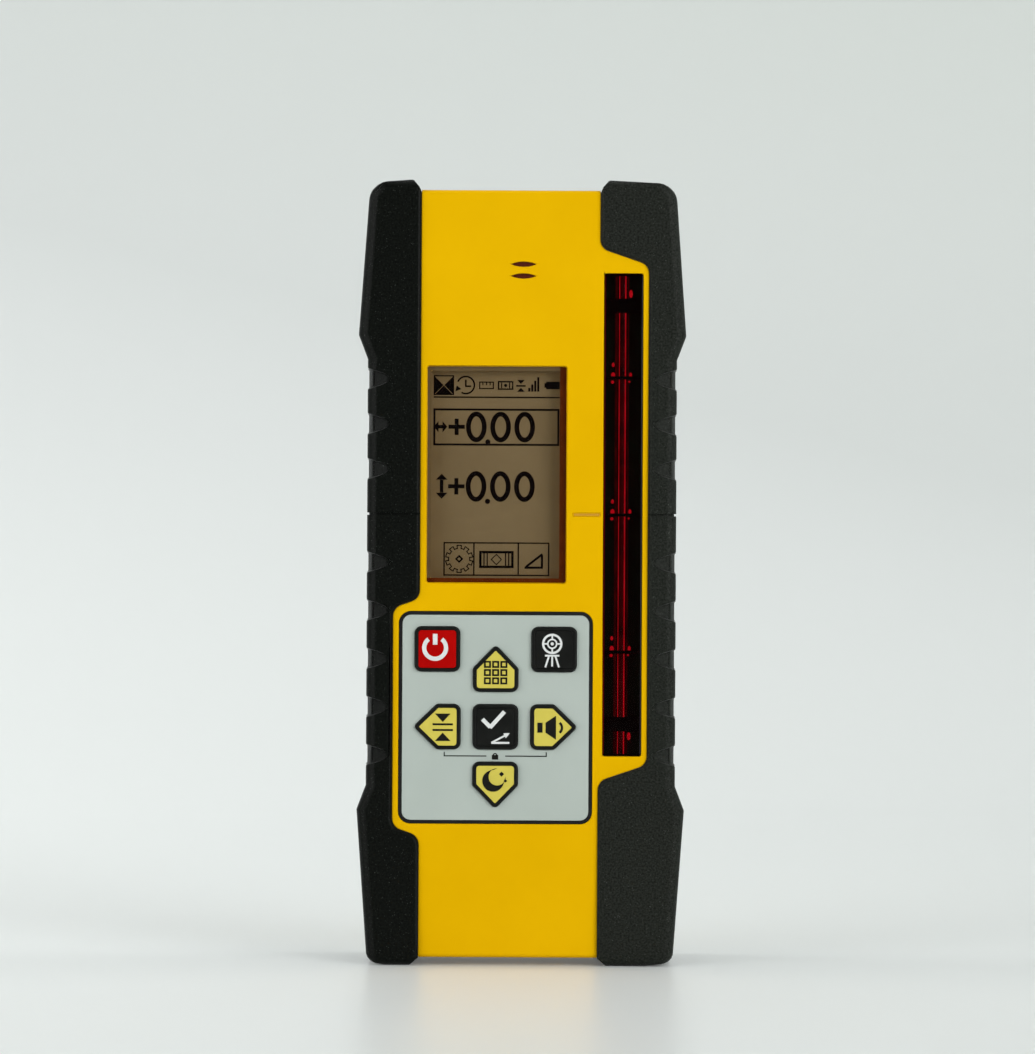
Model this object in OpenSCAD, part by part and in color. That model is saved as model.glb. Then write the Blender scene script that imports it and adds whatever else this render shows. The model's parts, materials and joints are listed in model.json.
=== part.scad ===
// Handheld laser receiver: a two-part case in two rubber bumpers, with a tall
// red receiver window, a display, seven sprung keys and a battery bay behind a
// hinged door. The front faces -Y, +X is to the right of a person who reads
// the display, and the feet stand on z = 0. All sizes are in millimetres.

/* [Body] */
// Overall width across the flared ends of the bumpers
body_w = 82; // [80:0.5:88]
// Overall height from the feet to the top
body_h = 196.6; // [190:0.2:204]
// Overall depth over the bumpers
body_d = 33; // [32:0.5:38]
// Width of the grip between the flared ends
waist_w = 77.4; // [76:0.2:79]
// Height of each flared end, from the end to its widest place
flare_h = 39; // [34:1:44]
// Height over which a flare runs back to the grip
flare_run = 6; // [4:0.5:9]
// How far the bumpers stand proud of the front and the rear face
bumper_proud = 1; // [0.6:0.1:1.6]
// How far the bumpers reach below the bare band at the foot
band_drop = 2; // [1:0.2:3]
// How far the bumpers reach above the bare band at the top
band_rise = 2.6; // [1:0.2:3.4]
// Left edge of the bare band, from the middle
band_left = 25.4; // [24:0.2:27]
// Right edge of the bare band, from the middle
band_right = 19.4; // [18.6:0.2:20]
// Height of the on-grade level mark above the feet
level_z = 112.9; // [110:0.5:116]

/* [Receiver window] */
// Visible width of the receiver window
window_w = 9.8; // [8:0.2:10.6]
// Visible height of the receiver window
window_h = 120.8; // [100:0.4:126]

/* [Display] */
// Visible width of the display window
display_w = 35.1; // [30:0.5:37]
// Visible height of the display window
display_h = 54.4; // [44:0.4:58]

/* [Keypad] */
// Width of a key
key_w = 11.1; // [9:0.1:12]
// Length of an arrow key, base to point
arrow_l = 11.5; // [9.5:0.1:12]
// Distance between the keys of the cross
key_pitch = 14.6; // [13.6:0.1:15.4]
// Height of the two top keys above the middle key
top_row_rise = 19.4; // [18:0.2:21]
// Travel of a key
key_travel = 0.8; // [0.4:0.1:1.2]
// Rim of the keypad outside its keys
keypad_margin = 3.9; // [3.4:0.1:4.6]
// Height of the keypad's lower edge above the feet
keypad_z0 = 35.5; // [33:0.5:38]

/* [Battery bay] */
// Diameter of a cell
cell_d = 14.5; // [14:0.1:14.8]
// Length of a cell over its button
cell_l = 50.5; // [44:0.5:52]
// Thickness of the battery door
door_t = 2.4; // [2:0.1:2.8]
// Travel of the door latch
latch_travel = 4; // [3:0.5:5]

/* [Bracket seat] */
// Radius of the tapped hole for the rod bracket
bracket_hole_r = 2.55; // [2:0.05:3]
// Depth of the tapped insert
bracket_insert_l = 9; // [7:0.5:10]
// Radius of a locating socket
socket_r = 2.05; // [1.5:0.05:2.5]
// Distance between the two locating sockets
socket_spacing = 32; // [28:0.5:38]

/* [Hidden] */
$fn = 48;
arc_steps = 6;
overrun = 1;
fit = 0.05;
clearance = 0.2;

// Colours
yellow = [0.93, 0.72, 0.02];
rubber_black = [0.09, 0.10, 0.10];
key_black = [0.07, 0.07, 0.08];
key_yellow = [0.85, 0.76, 0.20];
key_red = [0.75, 0.02, 0.05];
plate_grey = [0.70, 0.74, 0.72];
lens_clear = [0.80, 0.84, 0.82];
lens_red = [0.25, 0.01, 0.02];
lcd_tan = [0.47, 0.40, 0.34];
board_green = [0.05, 0.30, 0.15];
steel = [0.70, 0.70, 0.72];
brass = [0.80, 0.65, 0.30];
white_plastic = [0.88, 0.88, 0.86];
seal_grey = [0.25, 0.25, 0.27];

// Bumpers
flare_half = body_w / 2;
waist_half = waist_w / 2;
end_taper = 2.7;
end_half = flare_half - end_taper;
end_bevel = 2.1;
end_bevel_r = 0.6;
crown = 0.9;
foot_crown = 0.9;
foot_flat_share = 0.55;
shoulder_r = 5;
foot_r = 3;
flare_r = 2;
bumper_corner_r = 3;
slab_ease = 0.05;
slab_steps = [6, 7, 5];
bumper_end_r = 2.5;
bumper_side_t = 3.5;
bumper_cover_t = 2.5;
bumper_end_t = 4;

// Grip notches and level mark
grip_pitch_upper = 11.25;
grip_count_upper = 3;
grip_pitch_lower = 12.05;
grip_count_lower = 5;
grip_h = 5;
grip_reach = 5.6;
grip_front_depth = 1.9;
grip_side_depth = 0.3;
grip_break = 1.4;
grip_blend = 2.6;
level_groove_h = 0.6;
level_groove_d = 0.5;
level_mark_l = 6.8;
level_mark_h = 0.9;
level_mark_d = 0.3;
level_mark_gap = 0.8;

// Case
core_half = waist_half - bumper_side_t;
core_corner_r = 3;
band_round = 1.2;
case_wall = 2.2;
cavity_r = 1.5;
case_y = body_d / 2 - bumper_proud;
core_y = body_d / 2 - bumper_cover_t;
band_z0 = band_drop;
band_z1 = body_h - band_rise;
core_z0 = bumper_end_t;
core_z1 = body_h - bumper_end_t;
cavity_half = core_half - case_wall;
cavity_z0 = core_z0 + case_wall;
cavity_z1 = core_z1 - case_wall;
parting_y = 2;
seal_w = 1.2;
seal_t = 1;

// Keypad stack, counted inwards from the front face
plate_recess = 0.1;
plate_t = 0.9;
flange_t = 0.8;
key_slack = 0.1;
mat_t = 0.8;
ledge_t = 1;
ledge_w = 2;
rim_w = 0.85;
shelf_w = 1;
keypad_r = 3;
key_proud = 0.8;
key_flange_w = 0.6;
key_gap = 0.15;
key_border = 0.8;
key_cap_t = 0.5;
key_r = 1.6;
arrow_point_r = 0.9;
key_least_r = 0.3;
arrow_base_share = 0.5;
plunger_r = 1.6;
plunger_gap = 0.3;
switch_w = 6;
switch_body_h = 1.9;
switch_pin_r = 1.7;
switch_h = 2.7;
plate_y = -case_y + plate_recess;
flange_y = plate_y + plate_t + fit;
mat_y = flange_y + flange_t + key_travel + key_slack;
ledge_y = mat_y + mat_t;
cavity_y0 = ledge_y + ledge_t;
keypad_w = 2 * key_pitch + arrow_l + 2 * keypad_margin;
keypad_h = top_row_rise + key_w / 2 + key_pitch + arrow_l / 2 + 2 * keypad_margin;
keypad_edge = 1.45;
keypad_x1 = band_right - keypad_edge;
keypad_x0 = keypad_x1 - keypad_w;
keypad_z1 = keypad_z0 + keypad_h;
key_cx = (keypad_x0 + keypad_x1) / 2;
key_cz = keypad_z0 + keypad_margin + arrow_l / 2 + key_pitch;

// Circuit boards
board_gap = 3.6;
board_t = 1.6;
board_y = cavity_y0 + board_gap;
board_edge = 2.4;
board_side = 2.8;
board_end_gap = 9;
board_x0 = key_cx - display_w / 2 - board_side;
board_x1 = band_right - board_edge;
board_z0 = cavity_z0 + board_end_gap;
board_z1 = cavity_z1 - board_end_gap;
standoff_r = 2.5;
standoff_inset = 4;
standoff_rise = 3.5;
board_screw_r = 1.1;
board_head_r = 2;
board_head_t = 1.2;
board_screw_depth = 2.6;
radio_size = [14, 2, 12];
radio_drop = 36;

// Display stack
window_recess = 0.3;
display_window_t = 1.5;
display_r = 0.7;
display_lip = 1;
display_rise = 7.05;
display_z0 = keypad_z1 + display_rise;
display_z1 = display_z0 + display_h;
lcd_border = 1.2;
gasket_t = 0.5;
gasket_w = 1.6;
lcd_t = 1.8;
gasket_y = cavity_y0;
lcd_y = gasket_y + gasket_t;
backlight_y = lcd_y + lcd_t;

// Buzzer
slot_l = 6.5;
slot_h = 1.3;
slot_pitch = 2.95;
buzzer_x = 0.15;
buzzer_drop = 22.6;
buzzer_z = body_h - buzzer_drop;
buzzer_r = 6.4;
buzzer_gasket_t = 0.4;
buzzer_gasket_r = 5;
buzzer_port_r = 1;
buzzer_port_d = 0.6;

// Receiver window and sensor
window_gap = 1;
window_sink = 0.4;
window_r = 0.6;
window_flange_w = 1.2;
window_flange_t = 1.2;
window_x0 = band_right + window_gap;
window_x1 = window_x0 + window_w;
window_cx = (window_x0 + window_x1) / 2;
holder_y = cavity_y0 + window_flange_t;
holder_d = 3.4;
sensor_y = holder_y + holder_d;
guide_r = 1;
guide_sink = 1.2;
guide_y = holder_y + guide_sink;
guide_rib_t = 0.8;
guide_end_rib_t = 3.6;
guide_rib_d = 2.4;
guide_inner_share = 0.571;
guide_outer_share = 0.871;
guide_joint = 0.2;
guide_end = 0.3;
rib_places = [for (share = [-guide_outer_share, -guide_inner_share, 0, guide_inner_share, guide_outer_share])
    level_z + share * window_h / 2];
rib_heights = [guide_end_rib_t, guide_rib_t, guide_rib_t, guide_rib_t, guide_end_rib_t];
diode_w = 2.4;
diode_h = 3.2;
diode_t = 0.8;
diode_pitch = 5;
diode_count = floor((window_h - diode_pitch) / diode_pitch);
sensor_tab_r = 2.2;
sensor_tab_share = 0.128;
sensor_room = cavity_z1 - level_z - window_h / 2 - window_flange_w;
sensor_tab_rise = sensor_tab_r + sensor_tab_share * (sensor_room - 2 * sensor_tab_r);
flex_t = 0.3;
flex_h = 12;
flex_lap = 3;

// Front panel outline
panel_slope = 0.34;
panel_r = 3;
panel_r_share = 0.7;
keypad_land = 1.5;
keypad_land_end = 0.85;
window_land = 1.4;
window_land_end = 2.1;
panel_tail = 6;
panel_x0 = keypad_x0 - keypad_land;
panel_x1 = window_x1 + window_land;
keypad_step = -band_left - panel_x0;
window_step = panel_x1 - band_right;
keypad_step_r = min(panel_r, keypad_step * panel_r_share);
window_step_r = min(panel_r, window_step * panel_r_share);
panel_keypad_rise = keypad_step * panel_slope;
panel_window_rise = window_step * panel_slope;
keypad_out_z0 = keypad_z0 - keypad_land_end;
keypad_out_z1 = keypad_z1 + keypad_land_end;
window_out_z0 = level_z - window_h / 2 - window_land_end;
window_out_z1 = level_z + window_h / 2 + window_land_end;
panel_z0 = min(keypad_out_z0 - panel_keypad_rise, window_out_z0 - panel_window_rise) - panel_tail;
panel_z1 = max(keypad_out_z1 + panel_keypad_rise, window_out_z1 + panel_window_rise) + panel_tail;

// Case screws
screw_side = 4.2;
screw_x = core_half - screw_side;
screw_inset = 3.8;
screw_places = [for (x = [-screw_x, screw_x], z = [cavity_z0 + screw_inset, cavity_z1 - screw_inset]) [x, z]];
screw_r = 1.5;
screw_head_r = 2.7;
screw_head_t = 2;
screw_bite = 9;
screw_slot_w = 0.8;
screw_slot_d = 0.7;
front_boss_r = 3.2;
rear_boss_r = 3.9;
well_r = 3.1;

// Battery bay
rear_cx = (band_right - band_left) / 2;
bay_side = 0.4;
bay_wall = 1.6;
cell_gap = 1;
cell_rest = 0.2;
cell_button_r = 2.7;
cell_button_h = 1.2;
contact_room = 2.6;
contact_t = 0.4;
contact_margin = 0.8;
leaf_half = 4;
leaf_top_half = 1;
leaf_w = 8;
terminal_w = 11;
bay_half = cell_d + cell_gap / 2 + bay_side;
bay_block_half = bay_half + bay_wall;
rear_wall = 4.5;
cavity_y1 = case_y - rear_wall;
door_in_y = case_y - door_t;
door_air = 0.4;
cell_y = door_in_y - door_air - cell_d / 2;
bay_y0 = cell_y - cell_d / 2 - cell_rest;
bay_z0 = 11.6;
bay_z1 = bay_z0 + cell_l + 2 * contact_room;
bay_block_z1 = bay_z1 + bay_wall;
door_seal_t = 0.8;
door_seal_w = 1.2;
door_seal_gap = 0.7;
door_seat_y = door_in_y - door_seal_t;
door_overlap = 3.1;
door_half = bay_half + door_overlap;
door_r = 2;

// Door hinge
hinge_r = 1.9;
hinge_sink = 0.1;
hinge_drop = 4.2;
hinge_y = case_y - hinge_r - hinge_sink;
hinge_z = bay_z0 - hinge_drop;
hinge_pin_r = 0.9;
hinge_pin_fit = 0.02;
hinge_run = 0.07;
hinge_gap = 0.3;
hinge_relief = case_y - hinge_y + hinge_gap;
knuckle_l = 6.5;

// Door latch
latch_zone = 9;
door_z1 = bay_block_z1 + latch_zone;
latch_w = 11;
latch_h = 5;
latch_pad_t = 1;
latch_rib_t = 0.7;
latch_rib_count = 4;
latch_rib_pitch = 2.2;
latch_air = 0.1;
latch_recess_gap = 0.3;
latch_stem_w = 4;
latch_stem_h = 2.6;
latch_plate_t = 0.9;
tongue_w = 6;
tongue_reach = 2;
latch_drop = 3.6;
latch_z = door_z1 - latch_drop;
latch_x = rear_cx - latch_travel / 2;
latch_recess_y = case_y - latch_pad_t - latch_air;
latch_plate_y1 = door_in_y - latch_air;
latch_plate_y0 = latch_plate_y1 - latch_plate_t;
latch_plate_z0 = latch_z - latch_h / 2;
tongue_z1 = door_z1 + tongue_reach;

// Bracket seat
seat_depth = 1;
seat_w = 30;
seat_margin = 8;
seat_r = 3;
seat_y = case_y - seat_depth;
insert_r = 4;
insert_flange_r = 4.8;
insert_flange_t = 1;
insert_wall = 2;
socket_depth = 4;
socket_wall = 1.6;

// Outline helpers
function unit(v) = v / norm(v);
function turn(from, to) = let (d = to - from) d > 180 ? d - 360 : d < -180 ? d + 360 : d;
function heading(v) = atan2(v[1], v[0]);
function corner(before, at, after, r, steps = arc_steps) =
    r == 0 ? [at] :
    let (u = unit(before - at), v = unit(after - at), half = acos(u * v) / 2,
         hub = at + unit(u + v) * r / sin(half), reach = r / tan(half),
         from = heading(at + u * reach - hub), sweep = turn(from, heading(at + v * reach - hub)))
    [for (i = [0:steps]) let (a = from + sweep * i / steps) hub + r * [cos(a), sin(a)]];
function rounded(points, radii, steps = arc_steps) =
    let (n = len(points))
    [for (i = [0:n - 1])
        each corner(points[(i + n - 1) % n], points[i], points[(i + 1) % n],
            is_list(radii) ? radii[i] : radii, steps)];
function rectangle(low, high) = [low, [high[0], low[1]], high, [low[0], high[1]]];

// Sweep helpers: a profile along one axis, between two places on it
module along_x(x0, x1) { translate([x0, 0, 0]) rotate([90, 0, 90]) linear_extrude(x1 - x0) children(); }
module along_y(y0, y1) { translate([0, y1, 0]) rotate([90, 0, 0]) linear_extrude(y1 - y0) children(); }
module along_z(z0, z1) { translate([0, 0, z0]) linear_extrude(z1 - z0) children(); }
module block(low, high) { translate(low) cube(high - low); }
module rod_x(y, z, r, x0, x1) { translate([x0, y, z]) rotate([0, 90, 0]) cylinder(r = r, h = x1 - x0); }
module rod_y(x, z, r, y0, y1) { translate([x, y1, z]) rotate([90, 0, 0]) cylinder(r = r, h = y1 - y0); }
module rod_z(x, y, r, z0, z1) { translate([x, y, z0]) cylinder(r = r, h = z1 - z0); }
module sheet(low, high, r, y0, y1) { along_y(y0, y1) polygon(rounded(rectangle(low, high), r)); }

// Case envelope, which the bumpers fit round
function panel_outline() = rounded(
    [[-band_left, panel_z0],
     [-band_left, keypad_out_z0 - panel_keypad_rise], [panel_x0, keypad_out_z0],
     [panel_x0, keypad_out_z1], [-band_left, keypad_out_z1 + panel_keypad_rise],
     [-band_left, panel_z1], [band_right, panel_z1],
     [band_right, window_out_z1 + panel_window_rise], [panel_x1, window_out_z1],
     [panel_x1, window_out_z0], [band_right, window_out_z0 - panel_window_rise],
     [band_right, panel_z0]],
    [0, keypad_step_r, keypad_step_r, keypad_step_r, keypad_step_r, 0,
     0, window_step_r, window_step_r, window_step_r, window_step_r, 0]);
module case_core() {
    along_z(core_z0, core_z1)
        polygon(rounded(rectangle([-core_half, -core_y], [core_half, core_y]), core_corner_r));
}
module case_band() {
    along_x(-band_left, band_right)
        polygon(rounded(rectangle([-case_y, band_z0], [case_y, band_z1]), band_round));
}
module case_envelope() {
    case_core();
    case_band();
    along_y(-case_y, -core_y + overrun) polygon(panel_outline());
}
module cavity() {
    along_z(cavity_z0, cavity_z1)
        polygon(rounded(rectangle([-cavity_half, cavity_y0], [cavity_half, cavity_y1]), cavity_r));
}

// Front case
module lens_slot(x, z) {
    sag = slot_h / 2;
    r = (slot_l * slot_l / 4 + sag * sag) / (2 * sag);
    along_y(-case_y - overrun, cavity_y0 + overrun)
        translate([x, z]) intersection() {
            translate([0, r - sag]) circle(r);
            translate([0, sag - r]) circle(r);
        }
}
module display_cutout() {
    low = [key_cx - display_w / 2, display_z0];
    high = [key_cx + display_w / 2, display_z1];
    lip = [display_lip, display_lip];
    sheet(low, high, display_r, -case_y - overrun, -case_y + window_recess + display_window_t);
    sheet(low + lip, high - lip, display_r, -case_y - overrun, cavity_y0 + overrun);
}
module keypad_cutout() {
    low = [keypad_x0, keypad_z0];
    high = [keypad_x1, keypad_z1];
    lip = [ledge_w, ledge_w];
    sheet(low, high, keypad_r, -case_y - overrun, ledge_y);
    sheet(low + lip, high - lip, keypad_r, -case_y - overrun, cavity_y0 + overrun);
}
module window_cutout() {
    sheet([window_x0, level_z - window_h / 2], [window_x1, level_z + window_h / 2], window_r,
        -case_y - overrun, cavity_y0 + overrun);
}
module level_mark_cut() {
    block([window_x0 - level_mark_gap - level_mark_l, -case_y - overrun, level_z - level_mark_h / 2],
          [window_x0 - level_mark_gap, -case_y + level_mark_d, level_z + level_mark_h / 2]);
}
standoff_places = [for (x = [board_x0 + standoff_inset, board_x1 - standoff_inset],
                        z = [board_z0 + standoff_rise, buzzer_z - buzzer_r - standoff_inset]) [x, z]];
sensor_screw_places = [for (side = [-1, 1])
    [window_cx, level_z + side * (window_h / 2 + window_flange_w + sensor_tab_rise)]];
module front_case() {
    color(yellow) difference() {
        union() {
            difference() {
                intersection() {
                    case_envelope();
                    block([-body_w, -body_d, 0], [body_w, parting_y, body_h]);
                }
                cavity();
            }
            for (p = screw_places) rod_y(p[0], p[1], front_boss_r, cavity_y0 - overrun, parting_y);
            for (p = standoff_places) rod_y(p[0], p[1], standoff_r, cavity_y0 - overrun, board_y);
            for (p = sensor_screw_places) rod_y(p[0], p[1], sensor_tab_r, cavity_y0 - overrun, sensor_y);
        }
        display_cutout();
        keypad_cutout();
        window_cutout();
        level_mark_cut();
        for (side = [-1, 1]) lens_slot(buzzer_x, buzzer_z + side * slot_pitch / 2);
        for (p = screw_places)
            rod_y(p[0], p[1], screw_r + fit, parting_y - screw_bite - overrun, parting_y + overrun);
        for (p = standoff_places)
            rod_y(p[0], p[1], board_screw_r + fit, board_y - board_screw_depth - fit, board_y + overrun);
        for (p = sensor_screw_places)
            rod_y(p[0], p[1], board_screw_r + fit, sensor_y - board_screw_depth - fit, sensor_y + overrun);
    }
}

// Rear case
module seal_ring(grow) {
    mid = case_wall / 2;
    half = seal_w / 2 + grow;
    high = [cavity_half + mid + half, cavity_z1 + mid + half];
    low = [-cavity_half - mid - half, cavity_z0 - mid - half];
    hole = [2 * half, 2 * half];
    along_y(parting_y, parting_y + seal_t) difference() {
        polygon(rounded(rectangle(low, high), core_corner_r));
        polygon(rounded(rectangle(low + hole, high - hole), core_corner_r));
    }
}
module door_cutout() {
    half = door_half + clearance;
    block([rear_cx - half, door_seat_y, hinge_z], [rear_cx + half, case_y + overrun, door_z1 + clearance]);
    rod_x(hinge_y, hinge_z, hinge_r + hinge_gap, rear_cx - half, rear_cx + half);
    block([rear_cx - half, hinge_y, hinge_z - hinge_relief], [rear_cx + half, case_y + overrun, hinge_z]);
}
module hinge_knuckles() {
    half = door_half + clearance;
    for (x0 = [rear_cx - half, rear_cx + half - knuckle_l]) {
        rod_x(hinge_y, hinge_z, hinge_r, x0, x0 + knuckle_l);
        block([x0, door_seat_y - overrun, hinge_z - hinge_r], [x0 + knuckle_l, hinge_y, hinge_z]);
    }
}
module latch_cutout() {
    reach = tongue_w / 2 + latch_recess_gap;
    plate_half = latch_w / 2 + latch_recess_gap;
    pocket_y0 = latch_plate_y0 - clearance;
    block([latch_x - plate_half, pocket_y0, latch_plate_z0 - clearance],
          [latch_x + latch_travel + plate_half, door_in_y, door_z1 + clearance]);
    block([latch_x - reach, pocket_y0, door_z1],
          [latch_x + latch_travel + reach, door_in_y + clearance, tongue_z1 + clearance]);
    block([latch_x - reach, pocket_y0, door_z1], [latch_x + reach, case_y + overrun, tongue_z1 + clearance]);
}
module bracket_seat_cut() {
    half = [seat_w / 2, socket_spacing / 2 + seat_margin];
    centre = [rear_cx, level_z];
    sheet(centre - half, centre + half, seat_r, seat_y, case_y + overrun);
    rod_y(rear_cx, level_z, insert_r, seat_y - bracket_insert_l, seat_y + overrun);
    rod_y(rear_cx, level_z, insert_flange_r, seat_y - insert_flange_t, seat_y + overrun);
    for (side = [-1, 1])
        rod_y(rear_cx, level_z + side * socket_spacing / 2, socket_r,
            seat_y - socket_depth, seat_y + overrun);
}
module rear_bosses() {
    for (p = screw_places) rod_y(p[0], p[1], rear_boss_r, parting_y, cavity_y1 + overrun);
    rod_y(rear_cx, level_z, insert_r + insert_wall,
        seat_y - bracket_insert_l - insert_wall, cavity_y1 + overrun);
    for (side = [-1, 1])
        rod_y(rear_cx, level_z + side * socket_spacing / 2, socket_r + socket_wall,
            seat_y - socket_depth - socket_wall, cavity_y1 + overrun);
}
module bay_block() {
    half = door_half + clearance + bay_wall;
    block([rear_cx - bay_block_half, bay_y0 - bay_wall, bay_z0 - bay_wall],
          [rear_cx + bay_block_half, cavity_y1 + overrun, bay_block_z1]);
    block([rear_cx - half, cavity_y1 - bay_wall, cavity_z0 - overrun],
          [rear_cx + half, cavity_y1 + overrun, bay_z0]);
}
module rear_case() {
    color(yellow) difference() {
        union() {
            difference() {
                intersection() {
                    case_envelope();
                    block([-body_w, parting_y, 0], [body_w, body_d, body_h]);
                }
                cavity();
            }
            rear_bosses();
            bay_block();
        }
        difference() {
            door_cutout();
            hinge_knuckles();
        }
        latch_cutout();
        block([rear_cx - bay_half, bay_y0, bay_z0], [rear_cx + bay_half, case_y, bay_z1]);
        rod_x(hinge_y, hinge_z, hinge_pin_r + hinge_pin_fit,
            rear_cx - door_half - clearance, rear_cx + door_half + clearance);
        bracket_seat_cut();
        seal_ring(fit);
        for (p = screw_places) {
            rod_y(p[0], p[1], screw_r + clearance, parting_y - overrun, core_y + overrun);
            rod_y(p[0], p[1], screw_head_r + clearance, core_y - screw_head_t, core_y + overrun);
        }
    }
}
module case_seal() { color(seal_grey) seal_ring(0); }
module case_screws() {
    color(steel) for (p = screw_places) difference() {
        union() {
            rod_y(p[0], p[1], screw_r, parting_y - screw_bite, core_y - screw_head_t);
            rod_y(p[0], p[1], screw_head_r, core_y - screw_head_t, core_y);
        }
        block([p[0] - screw_head_r - overrun, core_y - screw_slot_d, p[1] - screw_slot_w / 2],
              [p[0] + screw_head_r + overrun, core_y + overrun, p[1] + screw_slot_w / 2]);
    }
}

// Bumpers: an outline seen from the front, with one edge radius that follows its long side.
// The side is built from slabs with rounded edges, one for each straight run and round corner
function bumper_points(inner) =
    let (toe = inner + end_bevel, heel = toe + foot_flat_share * (end_half - toe))
    [[inner, band_z0], [toe, 0], [heel, 0], [end_half, foot_crown],
     [flare_half, flare_h], [waist_half, flare_h + flare_run],
     [waist_half, body_h - flare_h - flare_run], [flare_half, body_h - flare_h],
     [end_half, body_h - crown], [toe, body_h], [inner, band_z1]];
bumper_radii = [0, end_bevel_r, 0, foot_r, flare_r, 0, 0, flare_r, shoulder_r, end_bevel_r, 0];
module turned_along(at, way) {
    translate([at[0], 0, at[1]]) rotate([0, atan2(way[0], way[1]), 0]) children();
}
module side_slab(at, way, steps) {
    edge_y = body_d / 2 + slab_ease;
    turned_along(at, way) along_z(-body_h, body_h)
        polygon(rounded(rectangle([-body_w, -edge_y], [slab_ease, edge_y]),
            [0, bumper_corner_r, bumper_corner_r, 0], steps));
}
module corner_slab(before, at, after, r) {
    arc = corner(before, at, after, r);
    side_slab(arc[arc_steps / 2], arc[arc_steps] - arc[0], slab_steps[2]);
}
module span(z0, z1) { block([-body_w, -body_d, z0], [body_w, body_d, z1]); }
module bumper_side(p) {
    intersection() {
        side_slab(p[3], p[4] - p[3], slab_steps[0]);
        side_slab(p[4], p[5] - p[4], slab_steps[1]);
        corner_slab(p[2], p[3], p[4], foot_r);
        span(-overrun, body_h / 2);
    }
    intersection() {
        side_slab(p[5], p[6] - p[5], slab_steps[0]);
        span(flare_h / 2, body_h - flare_h / 2);
    }
    intersection() {
        side_slab(p[6], p[7] - p[6], slab_steps[1]);
        side_slab(p[7], p[8] - p[7], slab_steps[0]);
        corner_slab(p[7], p[8], p[9], shoulder_r);
        span(body_h / 2, body_h + overrun);
    }
}
module bumper_blank(inner) {
    half_d = body_d / 2;
    intersection() {
        bumper_side(bumper_points(inner));
        along_y(-body_d, body_d) polygon(rounded(bumper_points(inner), bumper_radii));
        along_x(-body_w, body_w) polygon(rounded(rectangle([-half_d, 0], [half_d, body_h]), bumper_end_r));
    }
}
grip_places = concat(
    [for (i = [1:grip_count_upper]) level_z + i * grip_pitch_upper],
    [for (i = [1:grip_count_lower]) level_z - i * grip_pitch_lower]);
function grip_channel() =
    let (half_d = body_d / 2, tip = waist_half - grip_reach, edge = waist_half - grip_break,
         floor_x = waist_half - grip_side_depth, y1 = half_d - grip_front_depth, y2 = y1 - grip_blend)
    [[tip, -half_d], [edge, -y1], [floor_x, -y2], [floor_x, y2], [edge, y1], [tip, half_d],
     [tip, body_d], [body_w, body_d], [body_w, -body_d], [tip, -body_d]];
function grip_outline() =
    let (tip = waist_half - grip_reach)
    concat([[body_w, -grip_h / 2], [body_w, grip_h / 2]],
        [for (i = [0:2 * arc_steps]) let (side = 1 - i / arc_steps)
            [tip + grip_reach * side * side, side * grip_h / 2]]);
module grip_notches() {
    for (z = grip_places) translate([0, 0, z]) intersection() {
        along_z(-grip_h, grip_h) polygon(grip_channel());
        along_y(-body_d - overrun, body_d + overrun) polygon(grip_outline());
    }
}
module level_groove() {
    core = [waist_half - level_groove_d, body_d / 2 - level_groove_d];
    translate([0, 0, level_z - level_groove_h / 2]) linear_extrude(level_groove_h) difference() {
        square([2 * body_w, 2 * body_d], center = true);
        polygon(rounded(rectangle(-core, core), bumper_corner_r - level_groove_d));
    }
}
module bumper_cuts() {
    case_envelope();
    along_y(-body_d, -core_y + overrun) polygon(panel_outline());
    level_groove();
    for (p = screw_places) rod_y(p[0], p[1], well_r, core_y - overrun, body_d);
}
module left_bumper() {
    color(rubber_black) difference() {
        mirror([1, 0, 0]) difference() {
            bumper_blank(band_left);
            grip_notches();
        }
        bumper_cuts();
    }
}
module right_bumper() {
    color(rubber_black) difference() {
        bumper_blank(band_right);
        grip_notches();
        bumper_cuts();
    }
}

// Display
module display_window() {
    half = [display_w / 2 - fit, display_h / 2 - fit];
    centre = [key_cx, (display_z0 + display_z1) / 2];
    y0 = -case_y + window_recess;
    color(lens_clear) sheet(centre - half, centre + half, display_r - fit, y0, y0 + display_window_t);
}
lcd_low = [key_cx - display_w / 2 - lcd_border, display_z0 - lcd_border];
lcd_high = [key_cx + display_w / 2 + lcd_border, display_z1 + lcd_border];
module display_gasket() {
    rim = [gasket_w, gasket_w];
    color(seal_grey) difference() {
        sheet(lcd_low, lcd_high, display_r, gasket_y, lcd_y);
        sheet(lcd_low + rim, lcd_high - rim, display_r, gasket_y - overrun, lcd_y + overrun);
    }
}
module lcd_panel() { color(lcd_tan) sheet(lcd_low, lcd_high, 0, lcd_y, backlight_y); }
module lcd_backlight() { color(white_plastic) sheet(lcd_low, lcd_high, display_r, backlight_y, board_y); }

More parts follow.
